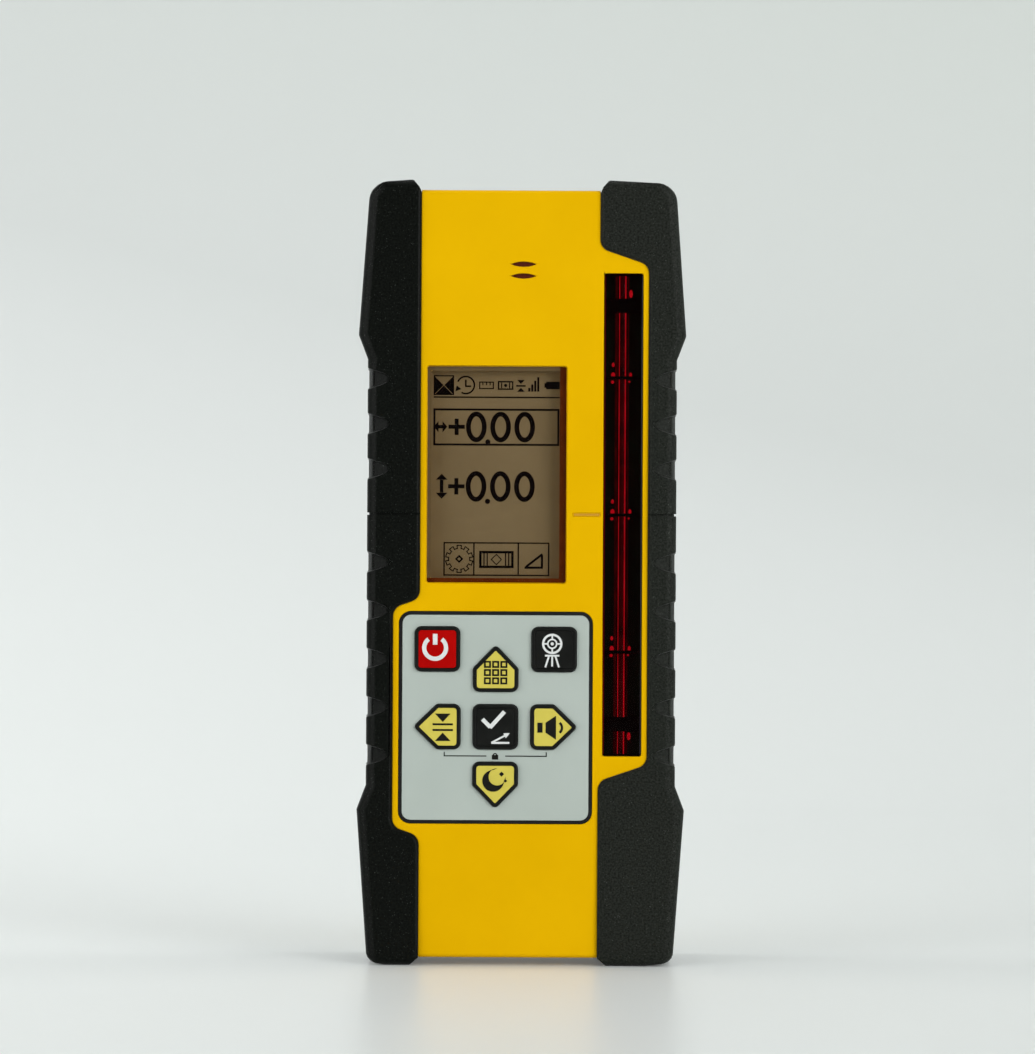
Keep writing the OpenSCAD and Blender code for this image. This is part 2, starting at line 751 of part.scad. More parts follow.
// Receiver window and sensor
sensor_low = [window_x0 - window_flange_w, level_z - window_h / 2 - window_flange_w];
sensor_high = [window_x1 + window_flange_w, level_z + window_h / 2 + window_flange_w];
opening_low = [window_x0, level_z - window_h / 2];
opening_high = [window_x1, level_z + window_h / 2];
module receiver_window() {
    gap = [fit, fit];
    color(lens_red) {
        sheet(opening_low + gap, opening_high - gap, window_r, -case_y + window_sink, holder_y);
        sheet(sensor_low, sensor_high, window_r, cavity_y0, holder_y);
    }
}
module sensor_holder() {
    color(key_black) difference() {
        union() {
            difference() {
                sheet(sensor_low, sensor_high, window_r, holder_y, sensor_y);
                sheet(opening_low, opening_high, window_r, holder_y - overrun, sensor_y + overrun);
            }
            for (i = [0:len(rib_places) - 1])
                block([window_x0 - fit, guide_y - guide_rib_d / 2, rib_places[i] - rib_heights[i] / 2],
                      [window_x1 + fit, guide_y + guide_rib_d / 2, rib_places[i] + rib_heights[i] / 2]);
        }
        rod_z(window_cx, guide_y, guide_r + fit, opening_low[1] + guide_end, opening_high[1] - guide_end);
    }
}
module light_guides() {
    last = len(rib_places) - 1;
    color(key_red) {
        rod_z(window_cx, guide_y, guide_r, opening_low[1] + guide_end, rib_places[0] - guide_joint);
        rod_z(window_cx, guide_y, guide_r, rib_places[0] + guide_joint, rib_places[last] - guide_joint);
        rod_z(window_cx, guide_y, guide_r, rib_places[last] + guide_joint, opening_high[1] - guide_end);
    }
}
module sensor_board() {
    color(board_green) difference() {
        union() {
            sheet(sensor_low, sensor_high, window_r, sensor_y, sensor_y + board_t);
            block([window_cx - sensor_tab_r, sensor_y, sensor_screw_places[0][1] - sensor_tab_r],
                  [window_cx + sensor_tab_r, sensor_y + board_t, sensor_screw_places[1][1] + sensor_tab_r]);
        }
        for (p = sensor_screw_places)
            rod_y(p[0], p[1], board_screw_r + clearance, sensor_y - overrun, sensor_y + board_t + overrun);
    }
}
module photodiodes() {
    color(key_black) for (i = [0:diode_count - 1])
        translate([window_cx, sensor_y - diode_t / 2, level_z + (i - (diode_count - 1) / 2) * diode_pitch])
            cube([diode_w, diode_t, diode_h], center = true);
}
module sensor_flex() {
    ya = board_y + board_t;
    yb = sensor_y + board_t;
    xb = sensor_low[0];
    color(brass) along_z(level_z - flex_h / 2, level_z + flex_h / 2) polygon([
        [board_x1 - flex_lap, ya], [board_x1, ya], [xb, yb], [xb + flex_lap, yb],
        [xb + flex_lap, yb + flex_t], [xb - flex_t, yb + flex_t], [board_x1 - flex_t, ya + flex_t],
        [board_x1 - flex_lap, ya + flex_t]]);
}

// Keypad
power_at = [key_cx - key_pitch, key_cz + top_row_rise];
page_at = [key_cx + key_pitch, key_cz + top_row_rise];
up_at = [key_cx, key_cz + key_pitch];
left_at = [key_cx - key_pitch, key_cz];
ok_at = [key_cx, key_cz];
right_at = [key_cx + key_pitch, key_cz];
down_at = [key_cx, key_cz - key_pitch];
key_places = [power_at, page_at, up_at, left_at, ok_at, right_at, down_at];
function square_key(grow) =
    let (half = key_w / 2 + grow)
    rounded(rectangle([-half, -half], [half, half]), max(key_r + grow, key_least_r));
function arrow_key(grow) =
    let (half = key_w / 2 + grow, lean = atan(key_w / 2 / (arrow_l * (1 - arrow_base_share))),
         base = -arrow_l / 2 - grow, point = arrow_l / 2 + grow / sin(lean), side = point - half / tan(lean),
         r = max(key_r + grow, key_least_r), tip_r = max(arrow_point_r + grow, key_least_r))
    rounded([[-half, base], [half, base], [half, side], [0, point], [-half, side]],
        [r, r, tip_r, tip_r, tip_r]);
module key_profile(at, aim, grow) {
    translate(at) {
        if (is_undef(aim)) polygon(square_key(grow));
        else rotate(aim) polygon(arrow_key(grow));
    }
}
module all_keys(grow) {
    key_profile(power_at, undef, grow);
    key_profile(page_at, undef, grow);
    key_profile(up_at, 0, grow);
    key_profile(left_at, 90, grow);
    key_profile(ok_at, undef, grow);
    key_profile(right_at, -90, grow);
    key_profile(down_at, 180, grow);
}
key_top_y = -case_y - key_proud;
plunger_y = board_y - switch_h - key_travel - key_slack;
module key_body(at, aim) {
    color(key_black) difference() {
        union() {
            along_y(key_top_y, flange_y + flange_t) key_profile(at, aim, 0);
            along_y(flange_y, flange_y + flange_t) key_profile(at, aim, key_flange_w);
            rod_y(at[0], at[1], plunger_r, flange_y, plunger_y);
        }
        along_y(key_top_y - overrun, key_top_y + key_cap_t) key_profile(at, aim, -key_border);
    }
}
module key_cap(at, aim, tint) {
    color(tint) along_y(key_top_y, key_top_y + key_cap_t) key_profile(at, aim, -key_border - fit);
}
module power_key() { key_body(power_at, undef); }
module page_key() { key_body(page_at, undef); }
module up_key() { key_body(up_at, 0); }
module left_key() { key_body(left_at, 90); }
module ok_key() { key_body(ok_at, undef); }
module right_key() { key_body(right_at, -90); }
module down_key() { key_body(down_at, 180); }
module power_key_cap() { key_cap(power_at, undef, key_red); }
module page_key_cap() { key_cap(page_at, undef, key_black); }
module up_key_cap() { key_cap(up_at, 0, key_yellow); }
module left_key_cap() { key_cap(left_at, 90, key_yellow); }
module ok_key_cap() { key_cap(ok_at, undef, key_black); }
module right_key_cap() { key_cap(right_at, -90, key_yellow); }
module down_key_cap() { key_cap(down_at, 180, key_yellow); }
module keypad_faceplate() {
    inset = [rim_w + fit, rim_w + fit];
    color(plate_grey) difference() {
        sheet([keypad_x0, keypad_z0] + inset, [keypad_x1, keypad_z1] - inset, keypad_r - rim_w,
            plate_y, plate_y + plate_t);
        along_y(plate_y - overrun, plate_y + plate_t + overrun) all_keys(key_gap);
    }
}
module keypad_mat() {
    low = [keypad_x0, keypad_z0];
    high = [keypad_x1, keypad_z1];
    gap = [fit, fit];
    rim = [rim_w, rim_w];
    shelf = rim + [shelf_w, shelf_w];
    color(rubber_black) difference() {
        sheet(low + gap, high - gap, keypad_r, -case_y, ledge_y);
        sheet(low + rim, high - rim, keypad_r - rim_w, -case_y - overrun, plate_y + plate_t);
        sheet(low + shelf, high - shelf, keypad_r - rim_w, -case_y - overrun, mat_y);
        for (p = key_places) rod_y(p[0], p[1], plunger_r + plunger_gap, mat_y - overrun, ledge_y + overrun);
    }
}
module key_switches() {
    color(steel) for (p = key_places) {
        translate([p[0], board_y - switch_body_h / 2, p[1]])
            cube([switch_w, switch_body_h, switch_w], center = true);
        rod_y(p[0], p[1], switch_pin_r, board_y - switch_h, board_y - switch_body_h / 2);
    }
}

// Boards and buzzer
module main_board() {
    color(board_green) difference() {
        block([board_x0, board_y, board_z0], [board_x1, board_y + board_t, board_z1]);
        for (p = standoff_places)
            rod_y(p[0], p[1], board_screw_r + clearance, board_y - overrun, board_y + board_t + overrun);
    }
}
module board_screw(at, y) {
    rod_y(at[0], at[1], board_screw_r, y - board_screw_depth, y + board_t);
    rod_y(at[0], at[1], board_head_r, y + board_t, y + board_t + board_head_t);
}
module board_screws() {
    color(steel) {
        for (p = standoff_places) board_screw(p, board_y);
        for (p = sensor_screw_places) board_screw(p, sensor_y);
    }
}
module radio_module() {
    color(steel) translate([key_cx - radio_size[0] / 2, board_y + board_t, board_z1 - radio_drop])
        cube(radio_size);
}
module buzzer() {
    y0 = cavity_y0 + buzzer_gasket_t;
    color(key_black) difference() {
        rod_y(buzzer_x, buzzer_z, buzzer_r, y0, board_y);
        rod_y(buzzer_x, buzzer_z, buzzer_port_r, y0 - overrun, y0 + buzzer_port_d);
    }
}
module buzzer_gasket() {
    y1 = cavity_y0 + buzzer_gasket_t;
    color(seal_grey) difference() {
        rod_y(buzzer_x, buzzer_z, buzzer_r, cavity_y0, y1);
        rod_y(buzzer_x, buzzer_z, buzzer_gasket_r, cavity_y0 - overrun, y1 + overrun);
    }
}

// Battery door, latch and hinge
barrel_half = door_half + clearance - knuckle_l - clearance;
module battery_door() {
    color(yellow) difference() {
        union() {
            along_y(door_in_y, case_y) polygon(rounded(
                rectangle([rear_cx - door_half, hinge_z], [rear_cx + door_half, door_z1]),
                [0, 0, door_r, door_r]));
            rod_x(hinge_y, hinge_z, hinge_r, rear_cx - barrel_half, rear_cx + barrel_half);
        }
        for (x0 = [rear_cx - door_half - overrun, rear_cx + barrel_half])
            rod_x(hinge_y, hinge_z, hinge_r + hinge_gap, x0, x0 + door_half + overrun - barrel_half);
        rod_x(hinge_y, hinge_z, hinge_pin_r + hinge_run, rear_cx - barrel_half - overrun,
            rear_cx + barrel_half + overrun);
        latch_slots();
    }
}
module latch_slots() {
    pad = latch_w / 2 + latch_recess_gap;
    stem = latch_stem_w / 2 + clearance;
    tall = latch_h / 2 + clearance;
    slim = latch_stem_h / 2 + clearance;
    block([latch_x - pad, latch_recess_y, latch_z - tall],
          [latch_x + latch_travel + pad, case_y + overrun, latch_z + tall]);
    block([latch_x - stem, door_in_y - overrun, latch_z - slim],
          [latch_x + latch_travel + stem, case_y, latch_z + slim]);
}
module door_latch() {
    pad_y0 = latch_recess_y + latch_air;
    color(key_black) difference() {
        union() {
            block([latch_x - latch_w / 2, pad_y0, latch_z - latch_h / 2],
                  [latch_x + latch_w / 2, case_y, latch_z + latch_h / 2]);
            block([latch_x - latch_stem_w / 2, latch_plate_y0, latch_z - latch_stem_h / 2],
                  [latch_x + latch_stem_w / 2, case_y, latch_z + latch_stem_h / 2]);
            block([latch_x - latch_w / 2, latch_plate_y0, latch_plate_z0],
                  [latch_x + latch_w / 2, latch_plate_y1, latch_z + latch_h / 2]);
            block([latch_x - tongue_w / 2, latch_plate_y0, latch_z],
                  [latch_x + tongue_w / 2, latch_plate_y1, tongue_z1]);
        }
        for (i = [0:latch_rib_count - 1])
            translate([latch_x + (i - (latch_rib_count - 1) / 2) * latch_rib_pitch, case_y, latch_z])
                cube([latch_rib_t, latch_rib_t, latch_h + overrun], center = true);
    }
}
module door_hinge_pin() {
    reach = door_half + clearance;
    color(steel) rod_x(hinge_y, hinge_z, hinge_pin_r, rear_cx - reach, rear_cx + reach);
}
module door_seal() {
    low = [rear_cx - bay_half, bay_z0] - [door_seal_gap, door_seal_gap];
    high = [rear_cx + bay_half, bay_z1] + [door_seal_gap, door_seal_gap];
    rim = [door_seal_w, door_seal_w];
    color(seal_grey) difference() {
        sheet(low - rim, high + rim, door_seal_w, door_seat_y, door_in_y);
        sheet(low, high, 0, door_seat_y - overrun, door_in_y + overrun);
    }
}

// Cells and contacts
cell_x = (cell_d + cell_gap) / 2;
cell_z0 = bay_z0 + contact_room;
cell_z1 = cell_z0 + cell_l;
module cell_shape(x, up) {
    low = up ? cell_z0 : cell_z0 + cell_button_h;
    rod_z(x, cell_y, cell_d / 2, low, low + cell_l - cell_button_h);
    if (up) rod_z(x, cell_y, cell_button_r, cell_z1 - cell_button_h, cell_z1);
    else rod_z(x, cell_y, cell_button_r, cell_z0, cell_z0 + cell_button_h);
}
module batteries() {
    color(seal_grey) {
        cell_shape(rear_cx - cell_x, true);
        cell_shape(rear_cx + cell_x, false);
    }
}
function leaf_outline() =
    let (rise = contact_room - contact_t, foot = leaf_half - contact_t, top = leaf_top_half - contact_t / 2)
    [[-leaf_half, 0], [-foot, 0], [-top, rise - contact_t], [top, rise - contact_t], [foot, 0],
     [leaf_half, 0], [leaf_top_half, rise], [-leaf_top_half, rise]];
module leaf(x) {
    translate([0, cell_y, contact_t]) along_x(x - leaf_w / 2, x + leaf_w / 2) polygon(leaf_outline());
}
contact_y0 = bay_y0 + contact_margin;
contact_y1 = door_seat_y - contact_margin;
module battery_bridge() {
    color(steel) translate([0, 0, bay_z0]) {
        block([rear_cx - bay_half + contact_margin, contact_y0, 0],
              [rear_cx + bay_half - contact_margin, contact_y1, contact_t]);
        leaf(rear_cx - cell_x);
        leaf(rear_cx + cell_x);
    }
}
module battery_terminals() {
    color(steel) translate([0, 0, bay_z1]) mirror([0, 0, 1]) for (x = [rear_cx - cell_x, rear_cx + cell_x]) {
        block([x - terminal_w / 2, contact_y0, 0], [x + terminal_w / 2, contact_y1, contact_t]);
        leaf(x);
    }
}
module bracket_insert() {
    color(brass) difference() {
        union() {
            rod_y(rear_cx, level_z, insert_r, seat_y - bracket_insert_l, seat_y);
            rod_y(rear_cx, level_z, insert_flange_r, seat_y - insert_flange_t, seat_y);
        }
        rod_y(rear_cx, level_z, bracket_hole_r, seat_y - bracket_insert_l - overrun, seat_y + overrun);
    }
}

// Assembly
front_case();
rear_case();
case_seal();
left_bumper();
right_bumper();
case_screws();
display_window();
display_gasket();
lcd_panel();
lcd_backlight();
receiver_window();
sensor_holder();
light_guides();
sensor_board();
photodiodes();
sensor_flex();
keypad_faceplate();
keypad_mat();
key_switches();
power_key();
power_key_cap();
page_key();
page_key_cap();
up_key();
up_key_cap();
left_key();
left_key_cap();
ok_key();
ok_key_cap();
right_key();
right_key_cap();
down_key();
down_key_cap();
main_board();
board_screws();
radio_module();
buzzer();
buzzer_gasket();
battery_door();
door_hinge_pin();
door_seal();
door_latch();
batteries();
battery_bridge();
battery_terminals();
bracket_insert();
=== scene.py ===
import json
import math
import bmesh
import bpy
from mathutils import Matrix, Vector

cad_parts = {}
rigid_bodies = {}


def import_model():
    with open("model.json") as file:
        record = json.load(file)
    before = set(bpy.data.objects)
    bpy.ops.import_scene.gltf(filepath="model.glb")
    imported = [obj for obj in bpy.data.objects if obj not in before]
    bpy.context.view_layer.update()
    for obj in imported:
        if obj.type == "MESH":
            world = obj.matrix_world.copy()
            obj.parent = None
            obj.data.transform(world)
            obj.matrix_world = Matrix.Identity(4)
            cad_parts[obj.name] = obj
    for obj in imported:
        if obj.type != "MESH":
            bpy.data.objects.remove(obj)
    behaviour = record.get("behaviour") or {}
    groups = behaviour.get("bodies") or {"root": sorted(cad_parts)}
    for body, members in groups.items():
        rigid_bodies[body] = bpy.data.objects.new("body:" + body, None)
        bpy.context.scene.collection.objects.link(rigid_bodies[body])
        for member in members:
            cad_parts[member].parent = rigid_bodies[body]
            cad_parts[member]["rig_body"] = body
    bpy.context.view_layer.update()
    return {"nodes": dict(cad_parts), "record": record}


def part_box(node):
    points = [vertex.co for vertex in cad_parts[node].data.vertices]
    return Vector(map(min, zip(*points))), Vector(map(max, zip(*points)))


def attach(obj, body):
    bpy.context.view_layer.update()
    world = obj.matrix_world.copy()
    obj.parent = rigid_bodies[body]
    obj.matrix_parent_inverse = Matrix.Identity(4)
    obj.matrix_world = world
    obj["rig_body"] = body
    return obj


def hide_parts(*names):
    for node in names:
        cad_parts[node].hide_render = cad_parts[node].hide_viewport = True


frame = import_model()
cad = frame["nodes"]
mm = 0.001
print("frame loaded:", len(cad), "nodes")


# Small helpers for working on one object at a time
def selectOnly(*objs):
    bpy.ops.object.select_all(action="DESELECT")
    for obj in objs:
        obj.select_set(True)
    bpy.context.view_layer.objects.active = objs[-1]


def editAll(obj):
    selectOnly(obj)
    bpy.ops.object.mode_set(mode="EDIT")
    bpy.ops.mesh.select_all(action="SELECT")


def leaveEdit():
    bpy.ops.object.mode_set(mode="OBJECT")


def applyModifier(obj, kind, **settings):
    modifier = obj.modifiers.new(kind.lower(), kind)
    for key, value in settings.items():
        setattr(modifier, key, value)
    selectOnly(obj)
    bpy.ops.object.modifier_apply(modifier=modifier.name)


def applyPlace(obj):
    selectOnly(obj)
    bpy.ops.object.transform_apply(location=True, rotation=True, scale=True)


def joinAs(name, parts):
    selectOnly(*parts)
    if len(parts) > 1:
        bpy.ops.object.join()
    piece = bpy.context.view_layer.objects.active
    piece.name = name
    piece.data.name = name
    return piece


def pick(obj, kind, wanted):  # ends in edit mode, with only the wanted elements selected
    editAll(obj)
    bpy.ops.mesh.select_mode(type=kind)
    bpy.ops.mesh.select_all(action="DESELECT")
    leaveEdit()
    elements = {"VERT": obj.data.vertices, "EDGE": obj.data.edges, "FACE": obj.data.polygons}[kind]
    for element in elements:
        element.select = wanted(element)
    bpy.ops.object.mode_set(mode="EDIT")


def place(piece, body, look):
    piece.data.materials.clear()
    piece.data.materials.append(look)
    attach(piece, body)


# Finishes: two tones mixed by a cloudy pattern, a roughness range, and a grain raised by bump;
# patch, grain and relief are in metres, and sockets named here go to the shader as they are
finishes = {
    "yellowPlastic": {"tones": ((0.705, 0.393, 0.0), (0.755, 0.428, 0.0005)), "patch": 0.03,
                      "rough": (0.46, 0.56), "grain": 0.0004, "relief": 0.000015, "Specular IOR Level": 0.12,
                      "Specular Tint": (1.0, 0.75, 0.1, 1.0)},
    # Painted light: the two bumpers are one rubber; the right one's lighter tones stand in for light falling
    # on it from the right, the left one's darker tones for shade
    "rubberShadedLeft": {"tones": ((0.0006, 0.0010, 0.0006), (0.0058, 0.0071, 0.0055)), "patch": 0.0005,
                   "rough": (0.32, 0.44), "grain": 0.0004, "relief": 0.00005, "Specular IOR Level": 0.06,
                   "Sheen Weight": 0.15, "Sheen Roughness": 0.3, "dust": (0.07, 0.078, 0.07)},
    "rubberLitRight": {"tones": ((0.0044, 0.0057, 0.0040), (0.0225, 0.0250, 0.0208)), "patch": 0.0005,
                    "rough": (0.42, 0.56), "grain": 0.0004, "relief": 0.00005, "Specular IOR Level": 0.06,
                    "Sheen Weight": 0.15, "Sheen Roughness": 0.3, "dust": (0.09, 0.10, 0.088)},
    # Painted highlight: a pale rubber for the bevelled grip edges, standing in for the light they catch
    "rubberEdgeHighlight": {"tones": ((0.085, 0.093, 0.086), (0.200, 0.213, 0.201)), "patch": 0.0012,
                   "rough": (0.34, 0.48), "grain": 0.0004, "relief": 0.00003, "Specular IOR Level": 0.2,
                   "Sheen Weight": 0.3, "Sheen Roughness": 0.4},
    "keyBlack": {"tones": ((0.004, 0.0045, 0.004), (0.008, 0.0085, 0.0075)), "patch": 0.004,
                 "rough": (0.34, 0.44), "grain": 0.0003, "relief": 0.000008, "Specular IOR Level": 0.12},
    "keyYellow": {"tones": ((0.57, 0.49, 0.075), (0.62, 0.53, 0.085)), "patch": 0.005,
                  "rough": (0.38, 0.48), "grain": 0.0003, "relief": 0.000008, "Specular IOR Level": 0.25},
    "keyRed": {"tones": ((0.36, 0.0008, 0.0005), (0.42, 0.0015, 0.001)), "patch": 0.005,
               "rough": (0.36, 0.46), "grain": 0.0003, "relief": 0.000008, "Specular IOR Level": 0.04},
    "plateGrey": {"tones": ((0.395, 0.45, 0.413), (0.425, 0.48, 0.443)), "patch": 0.02,
                  "rough": (0.40, 0.50), "grain": 0.00025, "relief": 0.000006},
    "matRubber": {"tones": ((0.005, 0.005, 0.005), (0.010, 0.010, 0.010)), "patch": 0.004,
                  "rough": (0.55, 0.7), "grain": 0.0004, "relief": 0.00002, "Specular IOR Level": 0.15},
    "blackPlastic": {"tones": ((0.004, 0.004, 0.004), (0.008, 0.008, 0.008)), "patch": 0.006,
                     "rough": (0.45, 0.6), "grain": 0.0004, "relief": 0.00001, "Specular IOR Level": 0.15},
    "whitePlastic": {"tones": ((0.68, 0.68, 0.65), (0.75, 0.75, 0.72)), "patch": 0.01,
                     "rough": (0.4, 0.5), "grain": 0.0004, "relief": 0.00001},
    "whiteInk": {"tones": ((0.62, 0.64, 0.63), (0.72, 0.74, 0.73)), "patch": 0.002,
                 "rough": (0.45, 0.55), "grain": 0.0002, "relief": 0.000005},
    "blackInk": {"tones": ((0.004, 0.004, 0.003), (0.008, 0.008, 0.006)), "patch": 0.002,
                 "rough": (0.45, 0.55), "grain": 0.0002, "relief": 0.000005, "Specular IOR Level": 0.12},
    "lcdGlass": {"tones": ((0.160, 0.112, 0.054), (0.178, 0.126, 0.062)), "patch": 0.012,
                 "rough": (0.4, 0.5), "grain": 0.0003, "relief": 0.000003, "Specular IOR Level": 0.05},
    "lcdShade": {"tones": ((0.072, 0.011, 0.0006), (0.100, 0.019, 0.001)), "patch": 0.003,
                 "rough": (0.4, 0.5), "grain": 0.0003, "relief": 0.000003, "Specular IOR Level": 0.03},
    "lcdEdge": {"tones": ((0.120, 0.080, 0.038), (0.140, 0.096, 0.046)), "patch": 0.004,
                "rough": (0.4, 0.5), "grain": 0.0003, "relief": 0.000003, "Specular IOR Level": 0.05},
    "lcdInk": {"tones": ((0.0015, 0.0006, 0.0006), (0.003, 0.0012, 0.0012)), "patch": 0.0015,
               "rough": (0.5, 0.6), "grain": 0.0003, "relief": 0.000003, "Specular IOR Level": 0.0},
    "sealRubber": {"tones": ((0.02, 0.02, 0.022), (0.035, 0.035, 0.036)), "patch": 0.003,
                   "rough": (0.6, 0.75), "grain": 0.0004, "relief": 0.00002},
    "steel": {"tones": ((0.50, 0.50, 0.51), (0.60, 0.60, 0.61)), "patch": 0.003,
              "rough": (0.22, 0.38), "grain": 0.0003, "relief": 0.000003, "Metallic": 1.0},
    "brass": {"tones": ((0.58, 0.40, 0.13), (0.70, 0.51, 0.20)), "patch": 0.003,
              "rough": (0.2, 0.34), "grain": 0.0003, "relief": 0.000002, "Metallic": 1.0},
    "circuitBoard": {"tones": ((0.010, 0.075, 0.028), (0.018, 0.12, 0.05)), "patch": 0.004,
                     "rough": (0.3, 0.42), "grain": 0.0008, "relief": 0.00002},
    "flexFilm": {"tones": ((0.36, 0.16, 0.03), (0.45, 0.22, 0.05)), "patch": 0.004,
                 "rough": (0.3, 0.4), "grain": 0.0005, "relief": 0.00001},
    "cellWrap": {"tones": ((0.03, 0.033, 0.036), (0.045, 0.048, 0.052)), "patch": 0.01,
                 "rough": (0.25, 0.35), "grain": 0.0006, "relief": 0.000006},
    "cellBand": {"tones": ((0.30, 0.31, 0.32), (0.36, 0.37, 0.38)), "patch": 0.01,
                 "rough": (0.25, 0.35), "grain": 0.0006, "relief": 0.000006},
    # Painted light: these finishes glow, standing in for light caught and reflected behind the red window
    "guideAcrylicGlow": {"tones": ((0.03, 0.0003, 0.0006), (0.16, 0.001, 0.003)), "patch": 0.004,
                     "rough": (0.1, 0.2), "grain": 0.001, "relief": 0.000004, "Emission Strength": 0.9},
    "redHaze": {"tones": ((0.01, 0.0001, 0.0002), (0.20, 0.001, 0.003)), "patch": 0.006,
                "rough": (0.4, 0.5), "grain": 0.001, "relief": 0.000004, "Emission Strength": 0.9},
    "redGlow": {"tones": ((0.45, 0.002, 0.006), (0.85, 0.008, 0.020)), "patch": 0.009,
                "rough": (0.2, 0.3), "grain": 0.001, "relief": 0.000004, "Emission Strength": 2.4},
    # Painted shade: the case's yellow, darker, for the level mark's groove
    "levelGrooveShade": {"tones": ((0.48, 0.235, 0.001), (0.55, 0.28, 0.002)), "patch": 0.004,
                   "rough": (0.5, 0.6), "grain": 0.0003, "relief": 0.00001},
    "clearLens": {"tones": ((0.020, 0.018, 0.014), (0.030, 0.027, 0.022)), "patch": 0.02,
                  "rough": (0.06, 0.10), "grain": 0.004, "relief": 0.000004, "Alpha": 0.04},
    "redLens": {"tones": ((0.0015, 0.0001, 0.0001), (0.003, 0.0002, 0.0002)), "patch": 0.01,
                "rough": (0.05, 0.09), "grain": 0.004, "relief": 0.000004, "Alpha": 0.55,
                "Specular IOR Level": 0.04},
    # Painted light: a red line of light through the lens's left edge and a pale reflection on its right edge
    "lensRedEdgeLight": {"tones": ((0.050, 0.0006, 0.0010), (0.095, 0.001, 0.0015)), "patch": 0.02,
                    "rough": (0.2, 0.3), "grain": 0.001, "relief": 0.000004, "Specular IOR Level": 0.05},
    "lensPaleEdgeReflection": {"tones": ((0.030, 0.026, 0.030), (0.075, 0.070, 0.075)), "patch": 0.012,
                     "rough": (0.2, 0.3), "grain": 0.001, "relief": 0.000004, "Specular IOR Level": 0.1},
    # Painted shade: the cloth's dark red-brown stands in for the slots' yellow walls in shadow
    "shadedSoundCloth": {"tones": ((0.070, 0.011, 0.004), (0.095, 0.018, 0.007)), "patch": 0.0008,
                   "rough": (0.7, 0.8), "grain": 0.0003, "relief": 0.00003, "Specular IOR Level": 0.1},
}
toneSpots = (0.3, 0.7)  # where the two tones lie in the cloudy pattern
grainDetail = 2.0
dustLook = {"cell": 0.55 * mm, "speck": (0.06, 0.22), "cloud": 1.5 * mm, "chance": (0.44, 0.66)}


def addNoise(nodes, links, coords, size, detail=4.0):
    noise = nodes.new("ShaderNodeTexNoise")
    noise.inputs["Scale"].default_value = 1.0 / size
    noise.inputs["Detail"].default_value = detail
    links.new(coords.outputs["Object"], noise.inputs["Vector"])
    return noise


def addRange(nodes, links, source, low, high, fromLow=0.35, fromHigh=0.65):
    ranged = nodes.new("ShaderNodeMapRange")
    ranged.inputs["From Min"].default_value = fromLow
    ranged.inputs["From Max"].default_value = fromHigh
    ranged.inputs["To Min"].default_value = low
    ranged.inputs["To Max"].default_value = high
    links.new(source, ranged.inputs["Value"])
    return ranged.outputs["Result"]


def addRamp(nodes, links, source, stops):  # two stops
    ramp = nodes.new("ShaderNodeValToRGB")
    for element, (spot, colour) in zip(ramp.color_ramp.elements, stops):
        element.position = spot
        element.color = (*colour, 1.0)
    links.new(source, ramp.inputs["Fac"])
    return ramp.outputs["Color"]


def addDust(nodes, links, coords, tone, colour):  # sparse pale specks over a tone
    cells = nodes.new("ShaderNodeTexVoronoi")
    cells.inputs["Scale"].default_value = 1 / dustLook["cell"]
    links.new(coords.outputs["Object"], cells.inputs["Vector"])
    speck = addRange(nodes, links, cells.outputs["Distance"], 1.0, 0.0, *dustLook["speck"])
    where = addNoise(nodes, links, coords, dustLook["cloud"])
    chance = addRange(nodes, links, where.outputs["Fac"], 0.0, 1.0, *dustLook["chance"])
    both = nodes.new("ShaderNodeMath")
    both.operation = "MULTIPLY"
    links.new(speck, both.inputs[0])
    links.new(chance, both.inputs[1])
    mix = nodes.new("ShaderNodeMixRGB")
    links.new(both.outputs["Value"], mix.inputs["Fac"])
    links.new(tone, mix.inputs["Color1"])
    mix.inputs["Color2"].default_value = (*colour, 1.0)
    return mix.outputs["Color"]


def makeFinish(name, look):
    mat = bpy.data.materials.new(name)
    mat.use_nodes = True
    nodes, links = mat.node_tree.nodes, mat.node_tree.links
    shader = nodes["Principled BSDF"]
    coords = nodes.new("ShaderNodeTexCoord")
    cloud = addNoise(nodes, links, coords, look["patch"])
    tone = addRamp(nodes, links, cloud.outputs["Fac"], zip(toneSpots, look["tones"]))
    if "dust" in look:
        tone = addDust(nodes, links, coords, tone, look["dust"])
    links.new(tone, shader.inputs["Base Color"])
    grain = addNoise(nodes, links, coords, look["grain"], grainDetail)
    links.new(addRange(nodes, links, grain.outputs["Fac"], *look["rough"]), shader.inputs["Roughness"])
    bump = nodes.new("ShaderNodeBump")
    bump.inputs["Distance"].default_value = look["relief"]
    links.new(grain.outputs["Fac"], bump.inputs["Height"])
    links.new(bump.outputs["Normal"], shader.inputs["Normal"])
    for socket in shader.inputs.keys():
        if socket in look:
            shader.inputs[socket].default_value = look[socket]
    if "Emission Strength" in look:
        links.new(tone, shader.inputs["Emission Color"])
    return mat


finish = {name: makeFinish(name, look) for name, look in finishes.items()}
print("finishes:", len(finish))


# Camera at the photograph's place: level, straight on, a slight roll
shot = {"photoH": 1054, "mmPerPixel": 0.25, "distance": 1000 * mm, "nearest": 0.01,
        "aimX": -1.03 * mm, "aimZ": 109.75 * mm, "roll": 0.3, "sensor": 36.0}


